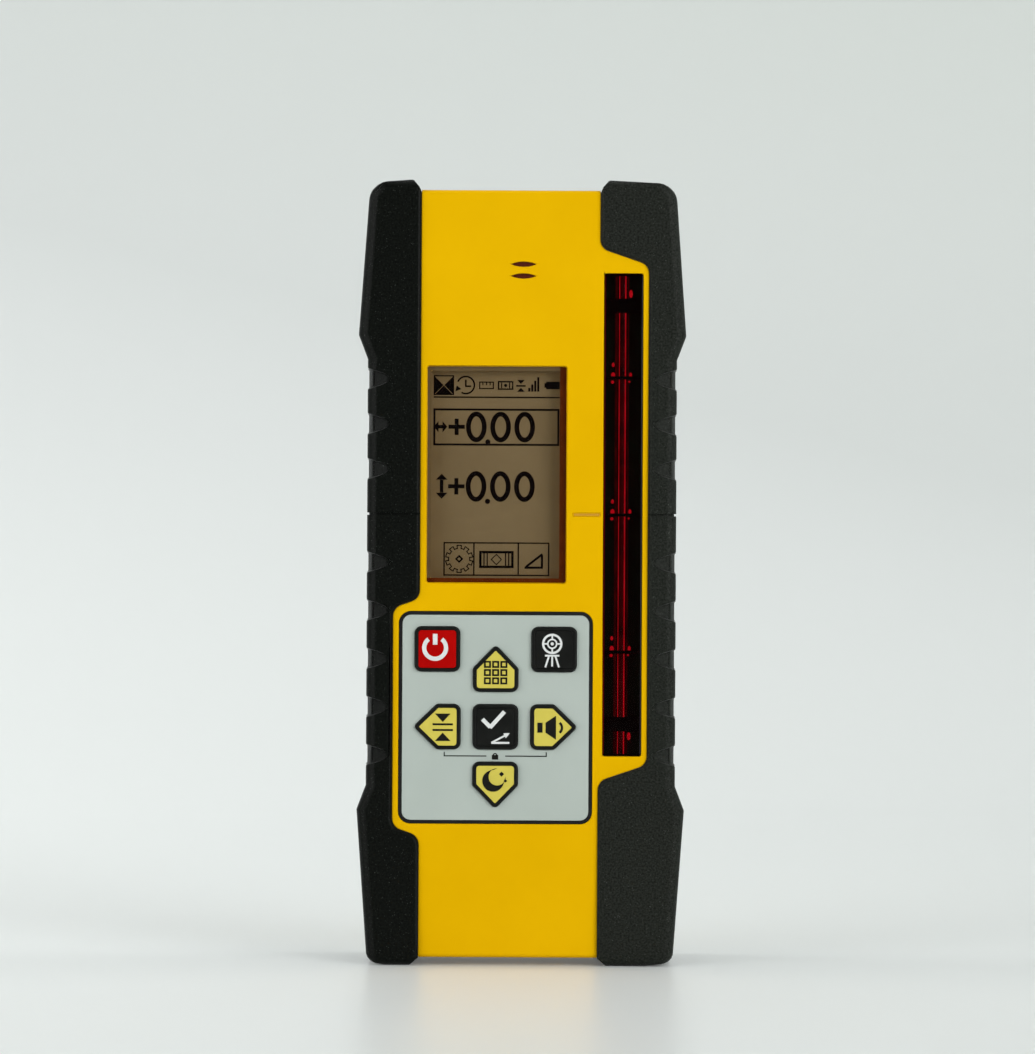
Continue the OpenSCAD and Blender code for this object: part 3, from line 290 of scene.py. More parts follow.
def makeCamera():
    data = bpy.data.cameras.new("photoCamera")
    camera = bpy.data.objects.new("photoCamera", data)
    bpy.context.scene.collection.objects.link(camera)
    frameHeight = shot["photoH"] * shot["mmPerPixel"] * mm
    data.sensor_width = shot["sensor"]
    data.lens = shot["sensor"] * shot["distance"] / frameHeight
    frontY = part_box("front_case")[0].y
    camera.location = (shot["aimX"], frontY - shot["distance"], shot["aimZ"])
    camera.rotation_euler = (math.pi / 2, -math.radians(shot["roll"]), 0)
    data.clip_start = shot["nearest"]
    bpy.context.scene.camera = camera


# Pale floor that sweeps up into the backdrop
sweep = {"width": 18.0, "front": 9.0, "depth": 1.1, "height": 3.0, "bend": 0.6, "steps": 24, "room": 0.01}
# Its colour fades along a slant, darker higher up the sweep as painted shade, and its near part glows for
# what the camera and mirrors see, as painted light
paper = {"slant": (0.25, -0.1, 1.0), "fade": (0.05, 0.40), "near": (0.675, 0.705, 0.695),
         "far": (0.595, 0.635, 0.605), "rough": 0.35, "gloss": 0.4,
         "liftColour": (0.98, 1.0, 0.99), "liftLevels": (0.185, 0.0), "liftSpan": (-0.1, 0.1)}


def makePaper():
    mat = bpy.data.materials.new("palePaper")
    mat.use_nodes = True
    nodes, links = mat.node_tree.nodes, mat.node_tree.links
    shader = nodes["Principled BSDF"]
    coords = nodes.new("ShaderNodeTexCoord")
    slant = nodes.new("ShaderNodeVectorMath")
    slant.operation = "DOT_PRODUCT"
    slant.inputs[1].default_value = paper["slant"]
    links.new(coords.outputs["Object"], slant.inputs[0])
    along = slant.outputs["Value"]
    shade = addRange(nodes, links, along, 0.0, 1.0, *paper["fade"])
    colour = addRamp(nodes, links, shade, ((0.0, paper["near"]), (1.0, paper["far"])))
    links.new(colour, shader.inputs["Base Color"])
    shader.inputs["Roughness"].default_value = paper["rough"]
    shader.inputs["Specular IOR Level"].default_value = paper["gloss"]
    shader.inputs["Emission Color"].default_value = (*paper["liftColour"], 1.0)
    rays = nodes.new("ShaderNodeLightPath")
    seen = rays.outputs["Is Camera Ray"]
    for more in ("Is Glossy Ray", "Is Transmission Ray"):
        either = nodes.new("ShaderNodeMath")
        either.operation = "MAXIMUM"
        links.new(seen, either.inputs[0])
        links.new(rays.outputs[more], either.inputs[1])
        seen = either.outputs["Value"]
    lift = nodes.new("ShaderNodeMath")
    lift.operation = "MULTIPLY"
    links.new(seen, lift.inputs[0])
    links.new(addRange(nodes, links, along, *paper["liftLevels"], *paper["liftSpan"]), lift.inputs[1])
    links.new(lift.outputs["Value"], shader.inputs["Emission Strength"])
    return mat


def makeStage():
    bpy.ops.object.select_all(action="DESELECT")
    bpy.ops.mesh.primitive_plane_add(size=1, location=(0, (sweep["depth"] - sweep["front"]) / 2, 0))
    floor = bpy.context.active_object
    floor.name = "sweep"
    floor.scale = (sweep["width"], sweep["front"] + sweep["depth"], 1)
    applyPlace(floor)

    def atBack(edge):
        return all(floor.data.vertices[i].co.y > sweep["depth"] - sweep["room"] for i in edge.vertices)

    def atBend(edge):
        return atBack(edge) and all(floor.data.vertices[i].co.z < sweep["room"] for i in edge.vertices)

    pick(floor, "EDGE", atBack)
    bpy.ops.mesh.extrude_region_move(TRANSFORM_OT_translate={"value": (0, 0, sweep["height"])})
    leaveEdit()
    pick(floor, "EDGE", atBend)
    bpy.ops.mesh.bevel(offset=sweep["bend"], segments=sweep["steps"])
    leaveEdit()
    bpy.ops.object.shade_smooth()
    floor.data.materials.append(makePaper())


# Soft boxes: place, size across and watts, all aimed at the middle of the receiver
softBoxes = {
    "keyBox": {"at": (1.15, -1.15, 0.5), "size": 1.2, "watts": 19.5},
    "fillBox": {"at": (-1.25, -0.9, 0.4), "size": 1.2, "watts": 13},
    "topBox": {"at": (0.0, 0.1, 1.5), "size": 1.6, "watts": 7},
    "leftBox": {"at": (-1.5, 0.2, 0.8), "size": 0.7, "watts": 7},
    "rightBox": {"at": (1.5, 0.2, 0.8), "size": 0.7, "watts": 7},
}
lampAim = Vector((0, 0, 0.1))
studioAir = {"colour": (0.95, 0.98, 0.96, 1), "strength": 0.17}


def makeLights():
    for name, box in softBoxes.items():
        data = bpy.data.lights.new(name, "AREA")
        data.shape = "DISK"
        data.size = box["size"]
        data.energy = box["watts"]
        lamp = bpy.data.objects.new(name, data)
        bpy.context.scene.collection.objects.link(lamp)
        lamp.location = box["at"]
        lamp.rotation_euler = (lampAim - lamp.location).to_track_quat("-Z", "Y").to_euler()
    world = bpy.data.worlds.new("studio")
    world.use_nodes = True
    air = world.node_tree.nodes["Background"].inputs
    air["Color"].default_value = studioAir["colour"]
    air["Strength"].default_value = studioAir["strength"]
    bpy.context.scene.world = world
    bpy.context.scene.view_settings.view_transform = "Standard"


makeCamera()
makeStage()
makeLights()
print("camera, stage and lights ready")


# The finish of each node, and the width of its softened edges in millimetres (0: shown as it is)
dress = {
    "front_case": ("yellowPlastic", 0.25), "rear_case": ("yellowPlastic", 0.25),
    "left_bumper": ("rubberShadedLeft", 0.4), "right_bumper": ("rubberLitRight", 0.4),
    "battery_door": ("yellowPlastic", 0.25), "door_latch": ("blackPlastic", 0.12),
    "keypad_faceplate": ("plateGrey", 0.1), "keypad_mat": ("matRubber", 0.15),
    "display_window": ("clearLens", 0.15), "receiver_window": ("redLens", 0.15),
    "case_screws": ("steel", 0.12), "bracket_insert": ("brass", 0.1),
    "batteries": ("cellWrap", 0.3), "battery_bridge": ("steel", 0), "battery_terminals": ("steel", 0),
    "door_hinge_pin": ("steel", 0.1), "door_seal": ("sealRubber", 0.15),
    "case_seal": ("sealRubber", 0), "display_gasket": ("sealRubber", 0), "lcd_panel": ("lcdGlass", 0),
    "lcd_backlight": ("whitePlastic", 0), "sensor_holder": ("blackPlastic", 0.1),
    "light_guides": ("guideAcrylicGlow", 0), "sensor_board": ("circuitBoard", 0),
    "photodiodes": ("blackPlastic", 0), "sensor_flex": ("flexFilm", 0), "key_switches": ("steel", 0),
    "main_board": ("circuitBoard", 0), "board_screws": ("steel", 0), "radio_module": ("steel", 0),
    "buzzer": ("blackPlastic", 0), "buzzer_gasket": ("sealRubber", 0),
}
keyTints = {"power_key": "keyRed", "page_key": "keyBlack", "up_key": "keyYellow", "left_key": "keyYellow",
            "ok_key": "keyBlack", "right_key": "keyYellow", "down_key": "keyYellow"}
keyEdges = {"frame": 0.22, "cap": 0.08}
for key, tint in keyTints.items():
    dress[key] = ("keyBlack", keyEdges["frame"])
    dress[key + "_cap"] = (tint, keyEdges["cap"])
# Painted highlight: the bevelled edges get a paler finish than the faces, standing in for the light they
# catch
paintedEdgeHighlights = {"left_bumper": ["rubberEdgeHighlight"], "right_bumper": ["rubberEdgeHighlight"]}
weld = {"gap": 0.002 * mm, "flat": math.radians(0.5), "sharp": math.radians(28), "steps": 2, "weight": 80}


def wholly(edge, test):
    return all(test(vertex.co) for vertex in edge.verts)


def pickSharp(piece, wanted):
    bpy.ops.mesh.select_mode(type="EDGE")
    bpy.ops.mesh.select_all(action="DESELECT")
    shape = bmesh.from_edit_mesh(piece.data)
    for edge in shape.edges:
        if edge.is_manifold and edge.calc_face_angle() > weld["sharp"] and wanted(edge):
            edge.select_set(True)
    bmesh.update_edit_mesh(piece.data)


# The rubber's lip round the yellow panel has a wider chamfer than the other edges,
# and the level groove and the screw wells keep their crisp edges
rubberLip = {"wide": 0.9 * mm, "steps": 2, "gripX": 32.6 * mm, "wellX": 27 * mm, "grooveRoom": 0.7 * mm,
             "wellR": 3.3 * mm, "screwR": 2.7 * mm, "highlightX": 31.2 * mm, "faceRoom": 0.01 * mm}
mountPlaces = {mount["name"]: mount["pos_m"] for mount in frame["record"]["mounts"]}
markZ = mountPlaces["bracket_thread"][2]  # the groove runs at the height of the thread
screwLow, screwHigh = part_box("case_screws")


def nearGroove(p):
    return abs(p.z - markZ) < rubberLip["grooveRoom"]


def inWell(p):
    ends = (screwLow.z + rubberLip["screwR"], screwHigh.z - rubberLip["screwR"])
    screwZ = min(ends, key=lambda z: abs(z - p.z))
    screwX = screwHigh.x - rubberLip["screwR"]
    return p.y > 0 and math.hypot(abs(p.x) - screwX, p.z - screwZ) < rubberLip["wellR"]


def chamferLip(piece, node):
    low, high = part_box(node)

    def onLip(p):
        front, back = p.y - low.y < rubberLip["faceRoom"], high.y - p.y < rubberLip["faceRoom"]
        return (front or back) and abs(p.x) < (rubberLip["gripX"] if front else rubberLip["wellX"])

    pickSharp(piece, lambda edge: wholly(edge, onLip) and not wholly(edge, nearGroove))
    bpy.ops.mesh.bevel(offset=rubberLip["wide"], segments=rubberLip["steps"], clamp_overlap=False)


# Rings cut in the wall of the insert's bore, half a pitch apart
threadCut = {"pitch": 1.27 * mm, "halfTurns": 13, "lead": 0.7 * mm, "boreR": 2.8 * mm, "grow": 1.16}


def cutThread(piece, node):
    low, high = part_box(node)
    middle = (low + high) / 2
    levels = [high.y - threadCut["lead"] - turn * threadCut["pitch"] / 2
              for turn in range(threadCut["halfTurns"])]
    for level in levels:
        bpy.ops.mesh.select_all(action="SELECT")
        bpy.ops.mesh.bisect(plane_co=(0, level, 0), plane_no=(0, 1, 0))
    bpy.ops.mesh.select_mode(type="VERT")
    bpy.ops.mesh.select_all(action="DESELECT")
    shape = bmesh.from_edit_mesh(piece.data)
    for vertex in shape.verts:
        inBore = math.hypot(vertex.co.x - middle.x, vertex.co.z - middle.z) < threadCut["boreR"]
        if inBore and min(abs(vertex.co.y - level) for level in levels[1::2]) < weld["gap"]:
            vertex.select_set(True)
    bmesh.update_edit_mesh(piece.data)
    bpy.ops.transform.resize(value=(threadCut["grow"], 1, threadCut["grow"]), center_override=middle)


def pressInside(piece, node):  # a bevel can push a sharp tip out of the node's box
    low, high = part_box(node)
    for vertex in piece.data.vertices:
        vertex.co = [min(max(at, least), most) for at, least, most in zip(vertex.co, low, high)]


def softCopy(node, edge, highlightTints):
    piece = bpy.data.objects.new(node + "_skin", cad[node].data.copy())
    bpy.context.scene.collection.objects.link(piece)
    editAll(piece)
    bpy.ops.mesh.customdata_custom_splitnormals_clear()
    bpy.ops.mesh.remove_doubles(threshold=weld["gap"])
    bpy.ops.mesh.dissolve_limited(angle_limit=weld["flat"])
    rubber = node.endswith("bumper")
    if rubber:
        chamferLip(piece, node)
    if node == "bracket_insert":
        cutThread(piece, node)
    pickSharp(piece, lambda side: not (rubber and wholly(side, lambda p: nearGroove(p) or inWell(p))))
    bpy.ops.mesh.bevel(offset=edge, segments=weld["steps"], material=len(highlightTints), clamp_overlap=False,
                       loop_slide=True)
    leaveEdit()
    for face in piece.data.polygons:  # only the grips keep the painted highlight
        if abs(face.center.x) < rubberLip["highlightX"]:
            face.material_index = 0
    pressInside(piece, node)
    selectOnly(piece)
    bpy.ops.object.shade_smooth_by_angle(angle=weld["sharp"])
    applyModifier(piece, "WEIGHTED_NORMAL", weight=weld["weight"], keep_sharp=True)
    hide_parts(node)
    return piece


def dressNodes():
    for node, (tint, edge) in dress.items():
        if edge:
            highlightTints = paintedEdgeHighlights.get(node, [])
            piece = softCopy(node, edge * mm, highlightTints)
            place(piece, cad[node]["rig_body"], finish[tint])
            for tone in highlightTints:
                piece.data.materials.append(finish[tone])
        else:
            cad[node].data.materials.clear()
            cad[node].data.materials.append(finish[tint])


dressNodes()
print("nodes dressed:", len(dress))


# Flat marks, drawn in the front plane in millimetres and turned clockwise by degrees
def flatBar(x, z, w, h, turn=0):
    bpy.ops.mesh.primitive_plane_add(size=1, location=(x * mm, 0, z * mm),
                                     rotation=(math.pi / 2, math.radians(turn), 0))
    bar = bpy.context.active_object
    bar.scale = (w * mm, h * mm, 1)
    applyPlace(bar)
    return bar


def hollow(obj, rim):
    editAll(obj)
    bpy.ops.mesh.inset(thickness=rim * mm)
    bpy.ops.mesh.delete(type="FACE")
    leaveEdit()
    return obj


def flatFrame(x, z, w, h, rim):
    return hollow(flatBar(x, z, w, h), rim)


def flatDisk(x, z, across, tall, sides=36, turn=0):
    bpy.ops.mesh.primitive_circle_add(vertices=sides, radius=0.5, fill_type="NGON",
                                      location=(x * mm, 0, z * mm),
                                      rotation=(math.pi / 2, math.radians(turn), 0))
    disk = bpy.context.active_object
    disk.scale = (across * mm, tall * mm, 1)
    applyPlace(disk)
    return disk


def flatRing(x, z, across, tall, rim, sides=36):
    return hollow(flatDisk(x, z, across, tall, sides), rim)


wedgeShare = {"wide": math.cos(math.radians(30)), "tall": 0.75}  # a triangle's share of its circle
roundSides = 48
moonGap = math.radians(62)


def flatWedge(x, z, w, h, turn=0):  # a triangle that points up before it is turned
    return flatDisk(x, z, w / wedgeShare["wide"], h / wedgeShare["tall"], 3, turn)


def trimFaces(obj, unwanted):
    pick(obj, "FACE", unwanted)
    bpy.ops.mesh.delete(type="FACE")
    leaveEdit()


def flatArc(x, z, across, rim, middle, spread):  # the stretch of a ring that lies round one direction
    ring = flatRing(x, z, across, across, rim, roundSides)
    aim = Vector((math.sin(math.radians(middle)), 0, math.cos(math.radians(middle))))
    hub = Vector((x * mm, 0, z * mm))
    trimFaces(ring, lambda face: (face.center - hub).angle(aim) > math.radians(spread))
    return ring


# An outer and a shifted inner circle, bridged and left open at the bite
def flatMoon(x, z, across, bite, aside):
    loops = []
    for radius, shift in ((across / 2, 0), (bite / 2, aside)):
        bpy.ops.mesh.primitive_circle_add(vertices=roundSides, radius=radius * mm,
                                          rotation=(math.pi / 2, 0, 0),
                                          location=((x + shift) * mm, 0, (z + shift) * mm))
        loops.append(bpy.context.active_object)
        applyPlace(loops[-1])
    moon = joinAs("moon", loops)
    editAll(moon)
    bpy.ops.mesh.bridge_edge_loops()
    leaveEdit()
    hub = Vector(((x + aside) * mm, 0, (z + aside) * mm))
    trimFaces(moon, lambda face: (face.center - hub).angle(Vector((1, 0, 1))) < moonGap)
    return moon


def flatTaper(x, z, w, left, right):  # a bar whose two ends differ in height
    bar = flatBar(x, z, w, left)
    pick(bar, "VERT", lambda vertex: vertex.co.x > x * mm)
    bpy.ops.transform.resize(value=(1, 1, right / left), center_override=(x * mm, 0, z * mm))
    leaveEdit()
    return bar


flatMakers = {"bar": flatBar, "frame": flatFrame, "disk": flatDisk, "ring": flatRing, "wedge": flatWedge,
              "arc": flatArc, "moon": flatMoon, "taper": flatTaper}
inkFilm = {"proud": 0.04 * mm, "sunk": 0.02 * mm, "layer": 0.0008 * mm}


def drawMarks(name, shapes, middle, faceY, turned=False):  # turned: on a face at the back
    bpy.ops.object.select_all(action="DESELECT")
    parts = [flatMakers[kind](*sizes) for kind, *sizes in shapes]
    for layer, part in enumerate(parts):
        part.location.y = -layer * inkFilm["layer"]
        applyPlace(part)
    piece = joinAs(name, parts)
    applyModifier(piece, "SOLIDIFY", thickness=inkFilm["proud"] + inkFilm["sunk"], offset=-1)
    piece.location = (middle[0], faceY + (inkFilm["proud"] if turned else -inkFilm["proud"]), middle[1])
    piece.rotation_euler.z = math.pi if turned else 0
    applyPlace(piece)
    return piece


def frontOf(node):
    low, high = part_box(node)
    return ((low.x + high.x) / 2, (low.z + high.z) / 2), low.y


# Key legends, in millimetres from the middle of each cap
legendGrid = [("frame", dx, dz - 0.75, 1.75, 1.75, 0.45)
              for dx in (-2.05, 0, 2.05) for dz in (-2.05, 0, 2.05)]
keyLegends = {
    "power_key": ("whiteInk", [("arc", -0.55, 0.3, 6.5, 1.05, 180, 146), ("bar", -0.55, 2.45, 1.15, 2.7)]),
    "page_key": ("whiteInk", [("ring", -0.5, 1.45, 5.1, 5.1, 0.55), ("ring", -0.5, 1.45, 2.6, 2.6, 0.38),
                              ("bar", -0.5, 3.1, 0.38, 1.0), ("bar", -0.5, -0.2, 0.38, 1.0),
                              ("bar", 1.15, 1.45, 1.0, 0.38), ("bar", -2.15, 1.45, 1.0, 0.38),
                              ("disk", -0.5, 1.45, 0.8, 0.8), ("bar", -0.5, -1.5, 3.6, 0.45),
                              ("bar", -1.75, -3.0, 0.45, 3.0, 18), ("bar", 0.75, -3.0, 0.45, 3.0, -18),
                              ("bar", -0.5, -2.9, 0.45, 2.6)]),
    "up_key": ("blackInk", legendGrid),
    "left_key": ("blackInk", [("wedge", 1.2, 2.6, 3.9, 2.1, 180), ("bar", 1.2, 0.62, 5.1, 0.5),
                              ("bar", 1.2, -0.8, 5.1, 0.5), ("wedge", 1.2, -2.85, 3.9, 2.1)]),
    "ok_key": ("whiteInk", [("bar", -2.25, 0.95, 1.0, 2.8, -45), ("bar", 0.45, 1.85, 1.0, 5.4, 42),
                            ("bar", 1.25, -3.95, 4.5, 0.5), ("bar", 0.85, -2.95, 0.45, 4.1, 62),
                            ("wedge", 2.75, -1.95, 1.4, 1.5, 62)]),
    "right_key": ("blackInk", [("bar", -3.2, -0.1, 1.3, 2.5), ("taper", -0.5, -0.1, 2.6, 2.5, 6.0),
                               ("arc", 0.75, -0.1, 3.7, 0.6, 90, 50)]),
    "down_key": ("blackInk", [("moon", -0.5, 0.9, 5.4, 4.3, 1.0), ("bar", 1.6, 2.6, 0.9, 0.9, 45),
                              ("bar", 2.6, 0.9, 0.6, 0.6, 45)]),
}


def drawLegends():
    for key, (ink, shapes) in keyLegends.items():
        middle, faceY = frontOf(key + "_cap")
        place(drawMarks(key + "_legend", shapes, middle, faceY), key, finish[ink])


drawLegends()
print("key legends drawn:", len(keyLegends))


# Printed lock bracket under the middle row of keys, from the middle of the faceplate
lockPrint = {"lock": [("bar", -0.05, -9.9, 1.6, 1.15), ("arc", -0.05, -9.4, 1.15, 0.3, 0, 100)],
             "lines": [("bar", -7.55, -9.6, 10.7, 0.28), ("bar", 7.7, -9.6, 10.4, 0.28),
                       ("bar", -12.75, -9.05, 0.28, 0.9), ("bar", 12.75, -9.05, 0.28, 0.9)]}


def drawLockPrint():
    middle, faceY = frontOf("keypad_faceplate")
    piece = drawMarks("lock_bracket_print", lockPrint["lines"] + lockPrint["lock"], middle, faceY)
    place(piece, "case", finish["blackInk"])


drawLockPrint()


# Display picture, in millimetres from the middle of the window
digits = {"zeros": (-5.2, 0.9, 6.95), "across": 5.2, "tall": 7.7, "stroke": 1.2, "plusX": -10.15,
          "plusSpan": 4.1, "plusLine": 1.0, "pointX": -2.3, "pointDrop": 3.75, "point": 1.3, "pointSides": 16}


def reading(z, arrow):
    zeros = [("ring", x, z, digits["across"], digits["tall"], digits["stroke"]) for x in digits["zeros"]]
    plus = [("bar", digits["plusX"], z, digits["plusSpan"], digits["plusLine"]),
            ("bar", digits["plusX"], z, digits["plusLine"], digits["plusSpan"])]
    point = ("disk", digits["pointX"], z - digits["pointDrop"], digits["point"], digits["point"],
             digits["pointSides"])
    return zeros + plus + arrow + [point]


def gearOutline(x, z, teeth=10, root=2.65, tip=3.4, line=0.26, tipWide=1.1, rootWide=0.85, flank=9.5):
    halfway, rise = (root + tip) / 2, tip - root + line
    strokes = ((0, tip, tipWide, line), (180 / teeth, root, rootWide, line),
               (flank, halfway, line, rise), (-flank, halfway, line, rise))
    marks = []
    for tooth in range(teeth):
        for turn, radius, wide, tall in strokes:
            degrees = 360 / teeth * tooth + turn
            across, up = radius * math.sin(math.radians(degrees)), radius * math.cos(math.radians(degrees))
            marks.append(("bar", x + across, z + up, wide, tall, degrees))
    return marks


displayMarks = {
    "display_status": [("frame", -13.4, 22.45, 5.1, 5.0, 0.3), ("wedge", -13.4, 20.85, 4.5, 2.25),
                       ("wedge", -15.0, 22.45, 4.5, 2.25, 90), ("wedge", -11.8, 22.45, 4.5, 2.25, -90),
                       ("arc", -7.9, 22.5, 4.7, 0.4, 70, 140), ("wedge", -9.9, 21.6, 1.6, 1.3, -20),
                       ("bar", -7.9, 23.0, 0.4, 1.7), ("bar", -7.3, 22.2, 1.5, 0.4),
                       ("frame", -2.7, 22.45, 3.7, 1.9, 0.28), ("bar", -3.6, 22.9, 0.25, 0.8),
                       ("bar", -2.7, 22.9, 0.25, 0.8), ("bar", -1.8, 22.9, 0.25, 0.8),
                       ("frame", 2.1, 22.45, 3.9, 2.2, 0.35), ("disk", 2.1, 22.45, 0.8, 0.8, 16),
                       ("bar", 1.1, 22.45, 0.28, 1.4), ("bar", 3.1, 22.45, 0.28, 1.4),
                       ("wedge", 5.95, 23.5, 1.9, 1.0, 180), ("bar", 5.95, 22.35, 2.4, 0.4),
                       ("wedge", 5.95, 21.2, 1.9, 1.0)]
                      + [("bar", 8.05 + 0.75 * i, 20.95 + 0.45 * (i + 1), 0.5, 0.9 * (i + 1))
                         for i in range(4)]
                      + [("bar", 14.0, 22.5, 3.4, 1.9), ("bar", 12.1, 22.5, 0.5, 1.1),
                         ("bar", -0.12, 19.45, 31.65, 0.34)],
    "display_readings": [("frame", -0.17, 11.95, 31.65, 9.3, 0.5)]
                        + reading(12.0, [("bar", -14.2, 12.0, 1.5, 0.85),
                                         ("wedge", -15.1, 12.0, 2.8, 1.2, -90),
                                         ("wedge", -13.3, 12.0, 2.8, 1.2, 90)])
                        + reading(-2.95, [("bar", -13.85, -2.95, 0.85, 3.2),
                                          ("wedge", -13.85, -5.1, 2.9, 1.5, 180),
                                          ("wedge", -13.85, -0.8, 2.9, 1.5)]),
    "display_menu": [("frame", 0, -21.2, 26.6, 8.45, 0.34), ("bar", -5.65, -21.2, 0.34, 7.9),
                     ("bar", 5.5, -21.2, 0.34, 7.9), ("ring", -9.35, -21.2, 2.1, 2.1, 0.42, 4)]
                    + gearOutline(-9.35, -21.2)
                    + [("frame", 0, -21.3, 8.65, 4.3, 0.6),
                       ("bar", -3.1, -21.3, 0.28, 3.2), ("bar", -2.3, -21.3, 0.28, 3.2),
                       ("bar", 2.3, -21.3, 0.28, 3.2), ("bar", 3.1, -21.3, 0.28, 3.2),
                       ("ring", 0, -21.3, 2.9, 2.9, 0.24, 4),
                       ("bar", 9.4, -23.3, 4.6, 0.55), ("bar", 9.5, -21.5, 0.55, 5.2, 52),
                       ("bar", 11.45, -21.6, 0.55, 2.9)],
}
# display_shade is painted shade: a dark red-brown strip at the right and bottom of the window where the
# recess wall lies in shadow; display_border is a strip a little darker than the LCD at the left and top
displayEdges = {
    "display_shade": ("lcdShade", [("bar", 16.65, 0, 1.8, 54.3), ("bar", -0.9, -26.55, 33.3, 1.2)]),
    "display_border": ("lcdEdge", [("bar", -17.0, 0.55, 1.1, 53.0), ("bar", -0.35, 26.55, 32.2, 1.1)]),
}


def drawDisplay():
    middle, _ = frontOf("display_window")
    _, glassY = frontOf("lcd_panel")
    for name, shapes in displayMarks.items():
        place(drawMarks(name, shapes, middle, glassY), "case", finish["lcdInk"])
    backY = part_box("display_window")[1].y
    for name, (tint, shapes) in displayEdges.items():
        place(drawMarks(name, shapes, middle, backY), "case", finish[tint])


drawDisplay()
print("display drawn")


# Painted light behind the red window: two glowing lines along the light guides stand in for reflections in
# the rods, a glowing haze beside them, and glowing glints round the ribs
windowFlange = 1.2 * mm  # the lens's rim, behind the case
guideLight = {"lines": (-64, 37), "spread": 9.0, "skin": 0.03 * mm, "sides": 40, "endRib": 3.6 * mm,
              "ribShares": (-0.571, 0, 0.571), "endShare": 0.871}
hazeBars = ((-1.6, 0.6), (1.4, 0.35))  # place and width beside the guides
glintSpots = {"rib": ((-2.4, 3.4, 0.36, 0.55), (-2.4, 0.75, 0.52, 0.75), (-2.55, -0.95, 0.42, 0.4),
                      (2.0, 0.8, 0.38, 0.68), (1.7, -0.85, 0.28, 0.24)),
              "end": ((2.0, 3.2, 0.45, 1.0),), "segments": 12, "rings": 8}


def windowSpan():  # the middle of the lens and half its open height
    low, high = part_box("receiver_window")
    return (low + high) / 2, (high.z - low.z) / 2 - windowFlange


def guideSpans():
    low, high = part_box("light_guides")
    middle, half = windowSpan()
    stops = [middle.z + side * guideLight["endShare"] * half + edge * guideLight["endRib"] / 2
             for side in (-1, 1) for edge in (-1, 1)]
    spans = [(low.z, stops[0]), (stops[1], stops[2]), (stops[3], high.z)]
    return (low + high) / 2, (high.x - low.x) / 2, spans


def lightGuides():
    hub, rod, spans = guideSpans()
    aims = [Vector((math.sin(math.radians(a)), -math.cos(math.radians(a)), 0)) for a in guideLight["lines"]]

    def dark(face):
        flat = Vector((face.center.x - hub.x, face.center.y - hub.y, 0))
        return min(flat.angle(aim) for aim in aims) > math.radians(guideLight["spread"])

    parts = []
    for bottom, top in spans:
        bpy.ops.object.select_all(action="DESELECT")
        bpy.ops.mesh.primitive_cylinder_add(vertices=guideLight["sides"], radius=rod + guideLight["skin"],
                                            end_fill_type="NOTHING", depth=top - bottom,
                                            location=(hub.x, hub.y, (bottom + top) / 2))
        parts.append(bpy.context.active_object)
        applyPlace(parts[-1])
        trimFaces(parts[-1], dark)
    lines = joinAs("guide_light_lines", parts)
    applyModifier(lines, "SOLIDIFY", thickness=guideLight["skin"], offset=1)
    place(lines, "case", finish["redGlow"])
    haze = [("bar", x, ((bottom + top) / 2 - hub.z) / mm, wide, (top - bottom) / mm)
            for bottom, top in spans for x, wide in hazeBars]
    piece = drawMarks("guide_haze", haze, (hub.x, hub.z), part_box("sensor_board")[0].y)
    place(piece, "case", finish["redHaze"])


# Painted glints: small glowing red domes on the sensor board stand in for light glinting round the ribs
def ribGlints():
    middle, half = windowSpan()
    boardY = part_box("sensor_board")[0].y
    bpy.ops.object.select_all(action="DESELECT")
    bpy.ops.mesh.primitive_uv_sphere_add(segments=glintSpots["segments"], ring_count=glintSpots["rings"])
    dome = bpy.context.active_object
    editAll(dome)
    bpy.ops.mesh.bisect(plane_co=(0, 0, 0), plane_no=(0, -1, 0), use_fill=True, clear_inner=True)
    leaveEdit()
    spots = [(x, share * half + z * mm, w, h)
             for share in guideLight["ribShares"] for x, z, w, h in glintSpots["rib"]]
    spots += [(x, side * (guideLight["endShare"] * half + z * mm), w, h)
              for side in (-1, 1) for x, z, w, h in glintSpots["end"]]
    copies = []
    for x, z, wide, tall in spots:
        glint = bpy.data.objects.new("glint", dome.data.copy())
        bpy.context.scene.collection.objects.link(glint)
        glint.location = (middle.x + x * mm, boardY, middle.z + z)
        glint.scale = (wide * mm, wide * mm, tall * mm)
        applyPlace(glint)
        copies.append(glint)
    bpy.data.objects.remove(dome)
    piece = joinAs("rib_glints", copies)
    bpy.ops.object.shade_smooth_by_angle(angle=weld["sharp"])
    place(piece, "case", finish["redGlow"])


lightGuides()
ribGlints()


# A darker yellow strip in the level mark's groove beside the window, painted shade in the groove
levelGrooveShade = {"right": 0.9, "long": 6.4, "tall": 0.62, "depth": 0.3 * mm}


def shadeLevelMark():
    middle, _ = windowSpan()
    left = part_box("receiver_window")[0].x + windowFlange
    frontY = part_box("front_case")[0].y
    markX = -levelGrooveShade["right"] - levelGrooveShade["long"] / 2
    shapes = [("bar", markX, 0, levelGrooveShade["long"], levelGrooveShade["tall"])]
    piece = drawMarks("level_mark_shade", shapes, (left, middle.z), frontY + levelGrooveShade["depth"])
    place(piece, "case", finish["levelGrooveShade"])


shadeLevelMark()


# Painted light on the window lens's edges, in millimetres from its middle: a red line of light through the
# left edge and a pale reflection on the right edge
lensEdgeLights = {"window_red_edge_light": ("lensRedEdgeLight", -4.66, 0.34), "window_pale_edge_reflection": ("lensPaleEdgeReflection", 4.6, 0.16)}
lensEdgeTall = 119.6


def paintLensEdgeLight():
    middle, faceY = frontOf("receiver_window")
    for name, (tint, x, wide) in lensEdgeLights.items():
        piece = drawMarks(name, [("bar", x, 0, wide, lensEdgeTall)], middle, faceY)
        place(piece, "case", finish[tint])


paintLensEdgeLight()


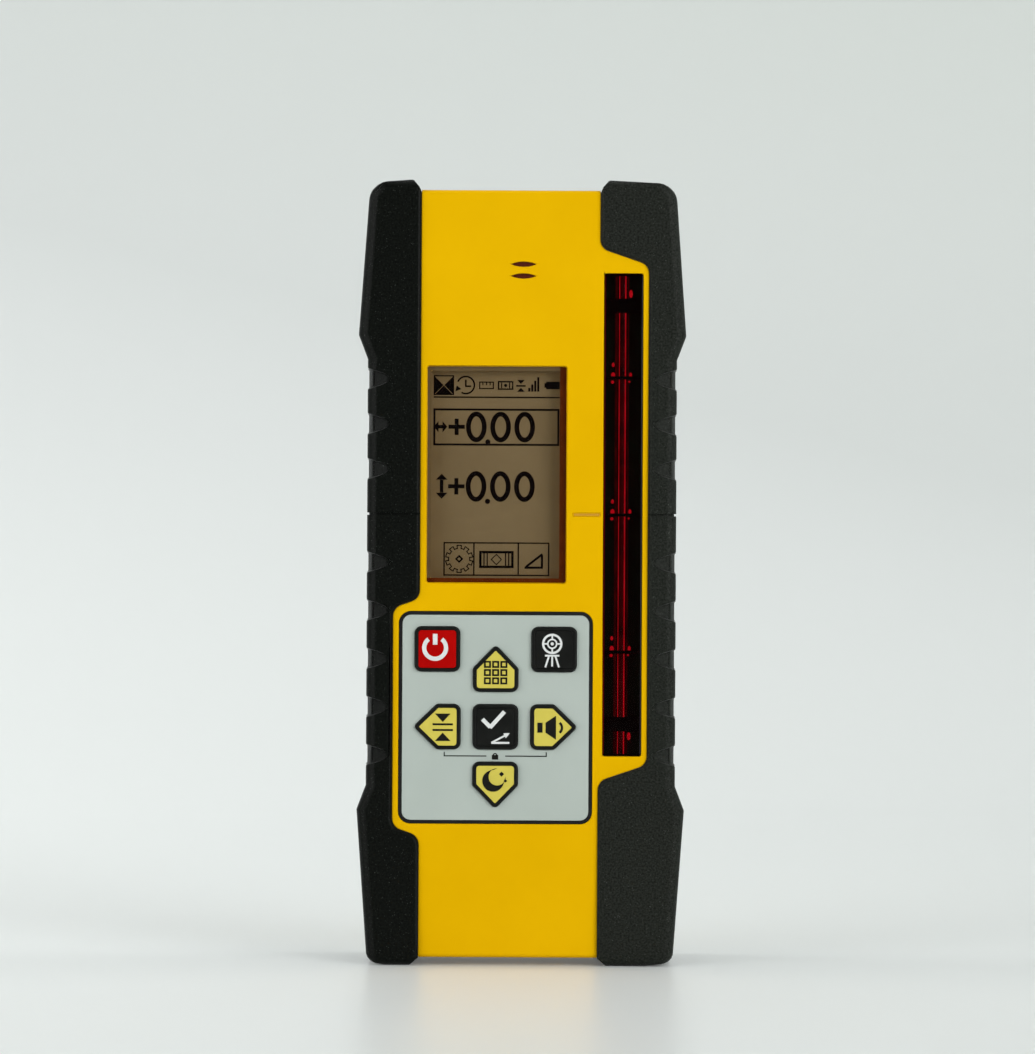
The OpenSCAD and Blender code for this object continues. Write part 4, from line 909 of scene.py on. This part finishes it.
# Cloth behind the two sound slots, from the middle of the buzzer; its dark red-brown is painted shade,
# standing in for the slots' yellow walls in shadow
shadedSoundCloth = {"wide": 6.3, "tall": 1.24, "pitch": 2.95, "depth": 0.9 * mm}


def hangShadedSoundCloth():
    middle, _ = frontOf("buzzer")
    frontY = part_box("front_case")[0].y
    shapes = [("disk", 0, side * shadedSoundCloth["pitch"] / 2, shadedSoundCloth["wide"], shadedSoundCloth["tall"])
              for side in (-1, 1)]
    piece = drawMarks("shaded_sound_cloth", shapes, middle, frontY + shadedSoundCloth["depth"])
    place(piece, "case", finish["shadedSoundCloth"])


hangShadedSoundCloth()
print("window lights, level mark and sound cloth done")


# Lock and unlock signs on the door, from the middle of the latch's thumb piece
latchSigns = {"thumbHalf": 2.5 * mm,
              "shapes": [("bar", -12.2, -0.55, 2.6, 1.9), ("arc", -12.2, 0.4, 2.0, 0.42, 0, 100),
                         ("bar", 8.2, -0.55, 2.6, 1.9), ("arc", 9.3, 0.55, 2.0, 0.42, 0, 100)]}


def drawLatchSigns():
    low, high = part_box("door_latch")
    middle = ((low.x + high.x) / 2, low.z + latchSigns["thumbHalf"])
    piece = drawMarks("latch_signs", latchSigns["shapes"], middle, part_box("battery_door")[1].y, True)
    place(piece, "door", finish["blackInk"])


# Each cell has bare steel ends and a pale band on the third by its button
cellDress = {"capRoom": 2.2 * mm, "bandShare": 0.34}


def dressCells():
    cells = bpy.data.objects["batteries_skin"]
    low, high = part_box("batteries")
    middle, tall = (low + high) / 2, high.z - low.z
    bandRoom = (0.5 - cellDress["bandShare"]) * tall
    for side in (-1, 1):
        editAll(cells)
        bpy.ops.mesh.bisect(plane_co=(0, 0, middle.z + side * bandRoom), plane_no=(0, 0, 1))
        leaveEdit()
    for tint in ("steel", "cellBand"):
        cells.data.materials.append(finish[tint])
    for face in cells.data.polygons:
        away = face.center.z - middle.z
        byButton = away > bandRoom if face.center.x < middle.x else away < -bandRoom
        if abs(away) > tall / 2 - cellDress["capRoom"]:
            face.material_index = 1
        else:
            face.material_index = 2 if byButton else 0


drawLatchSigns()
dressCells()
print("latch signs and cells done")
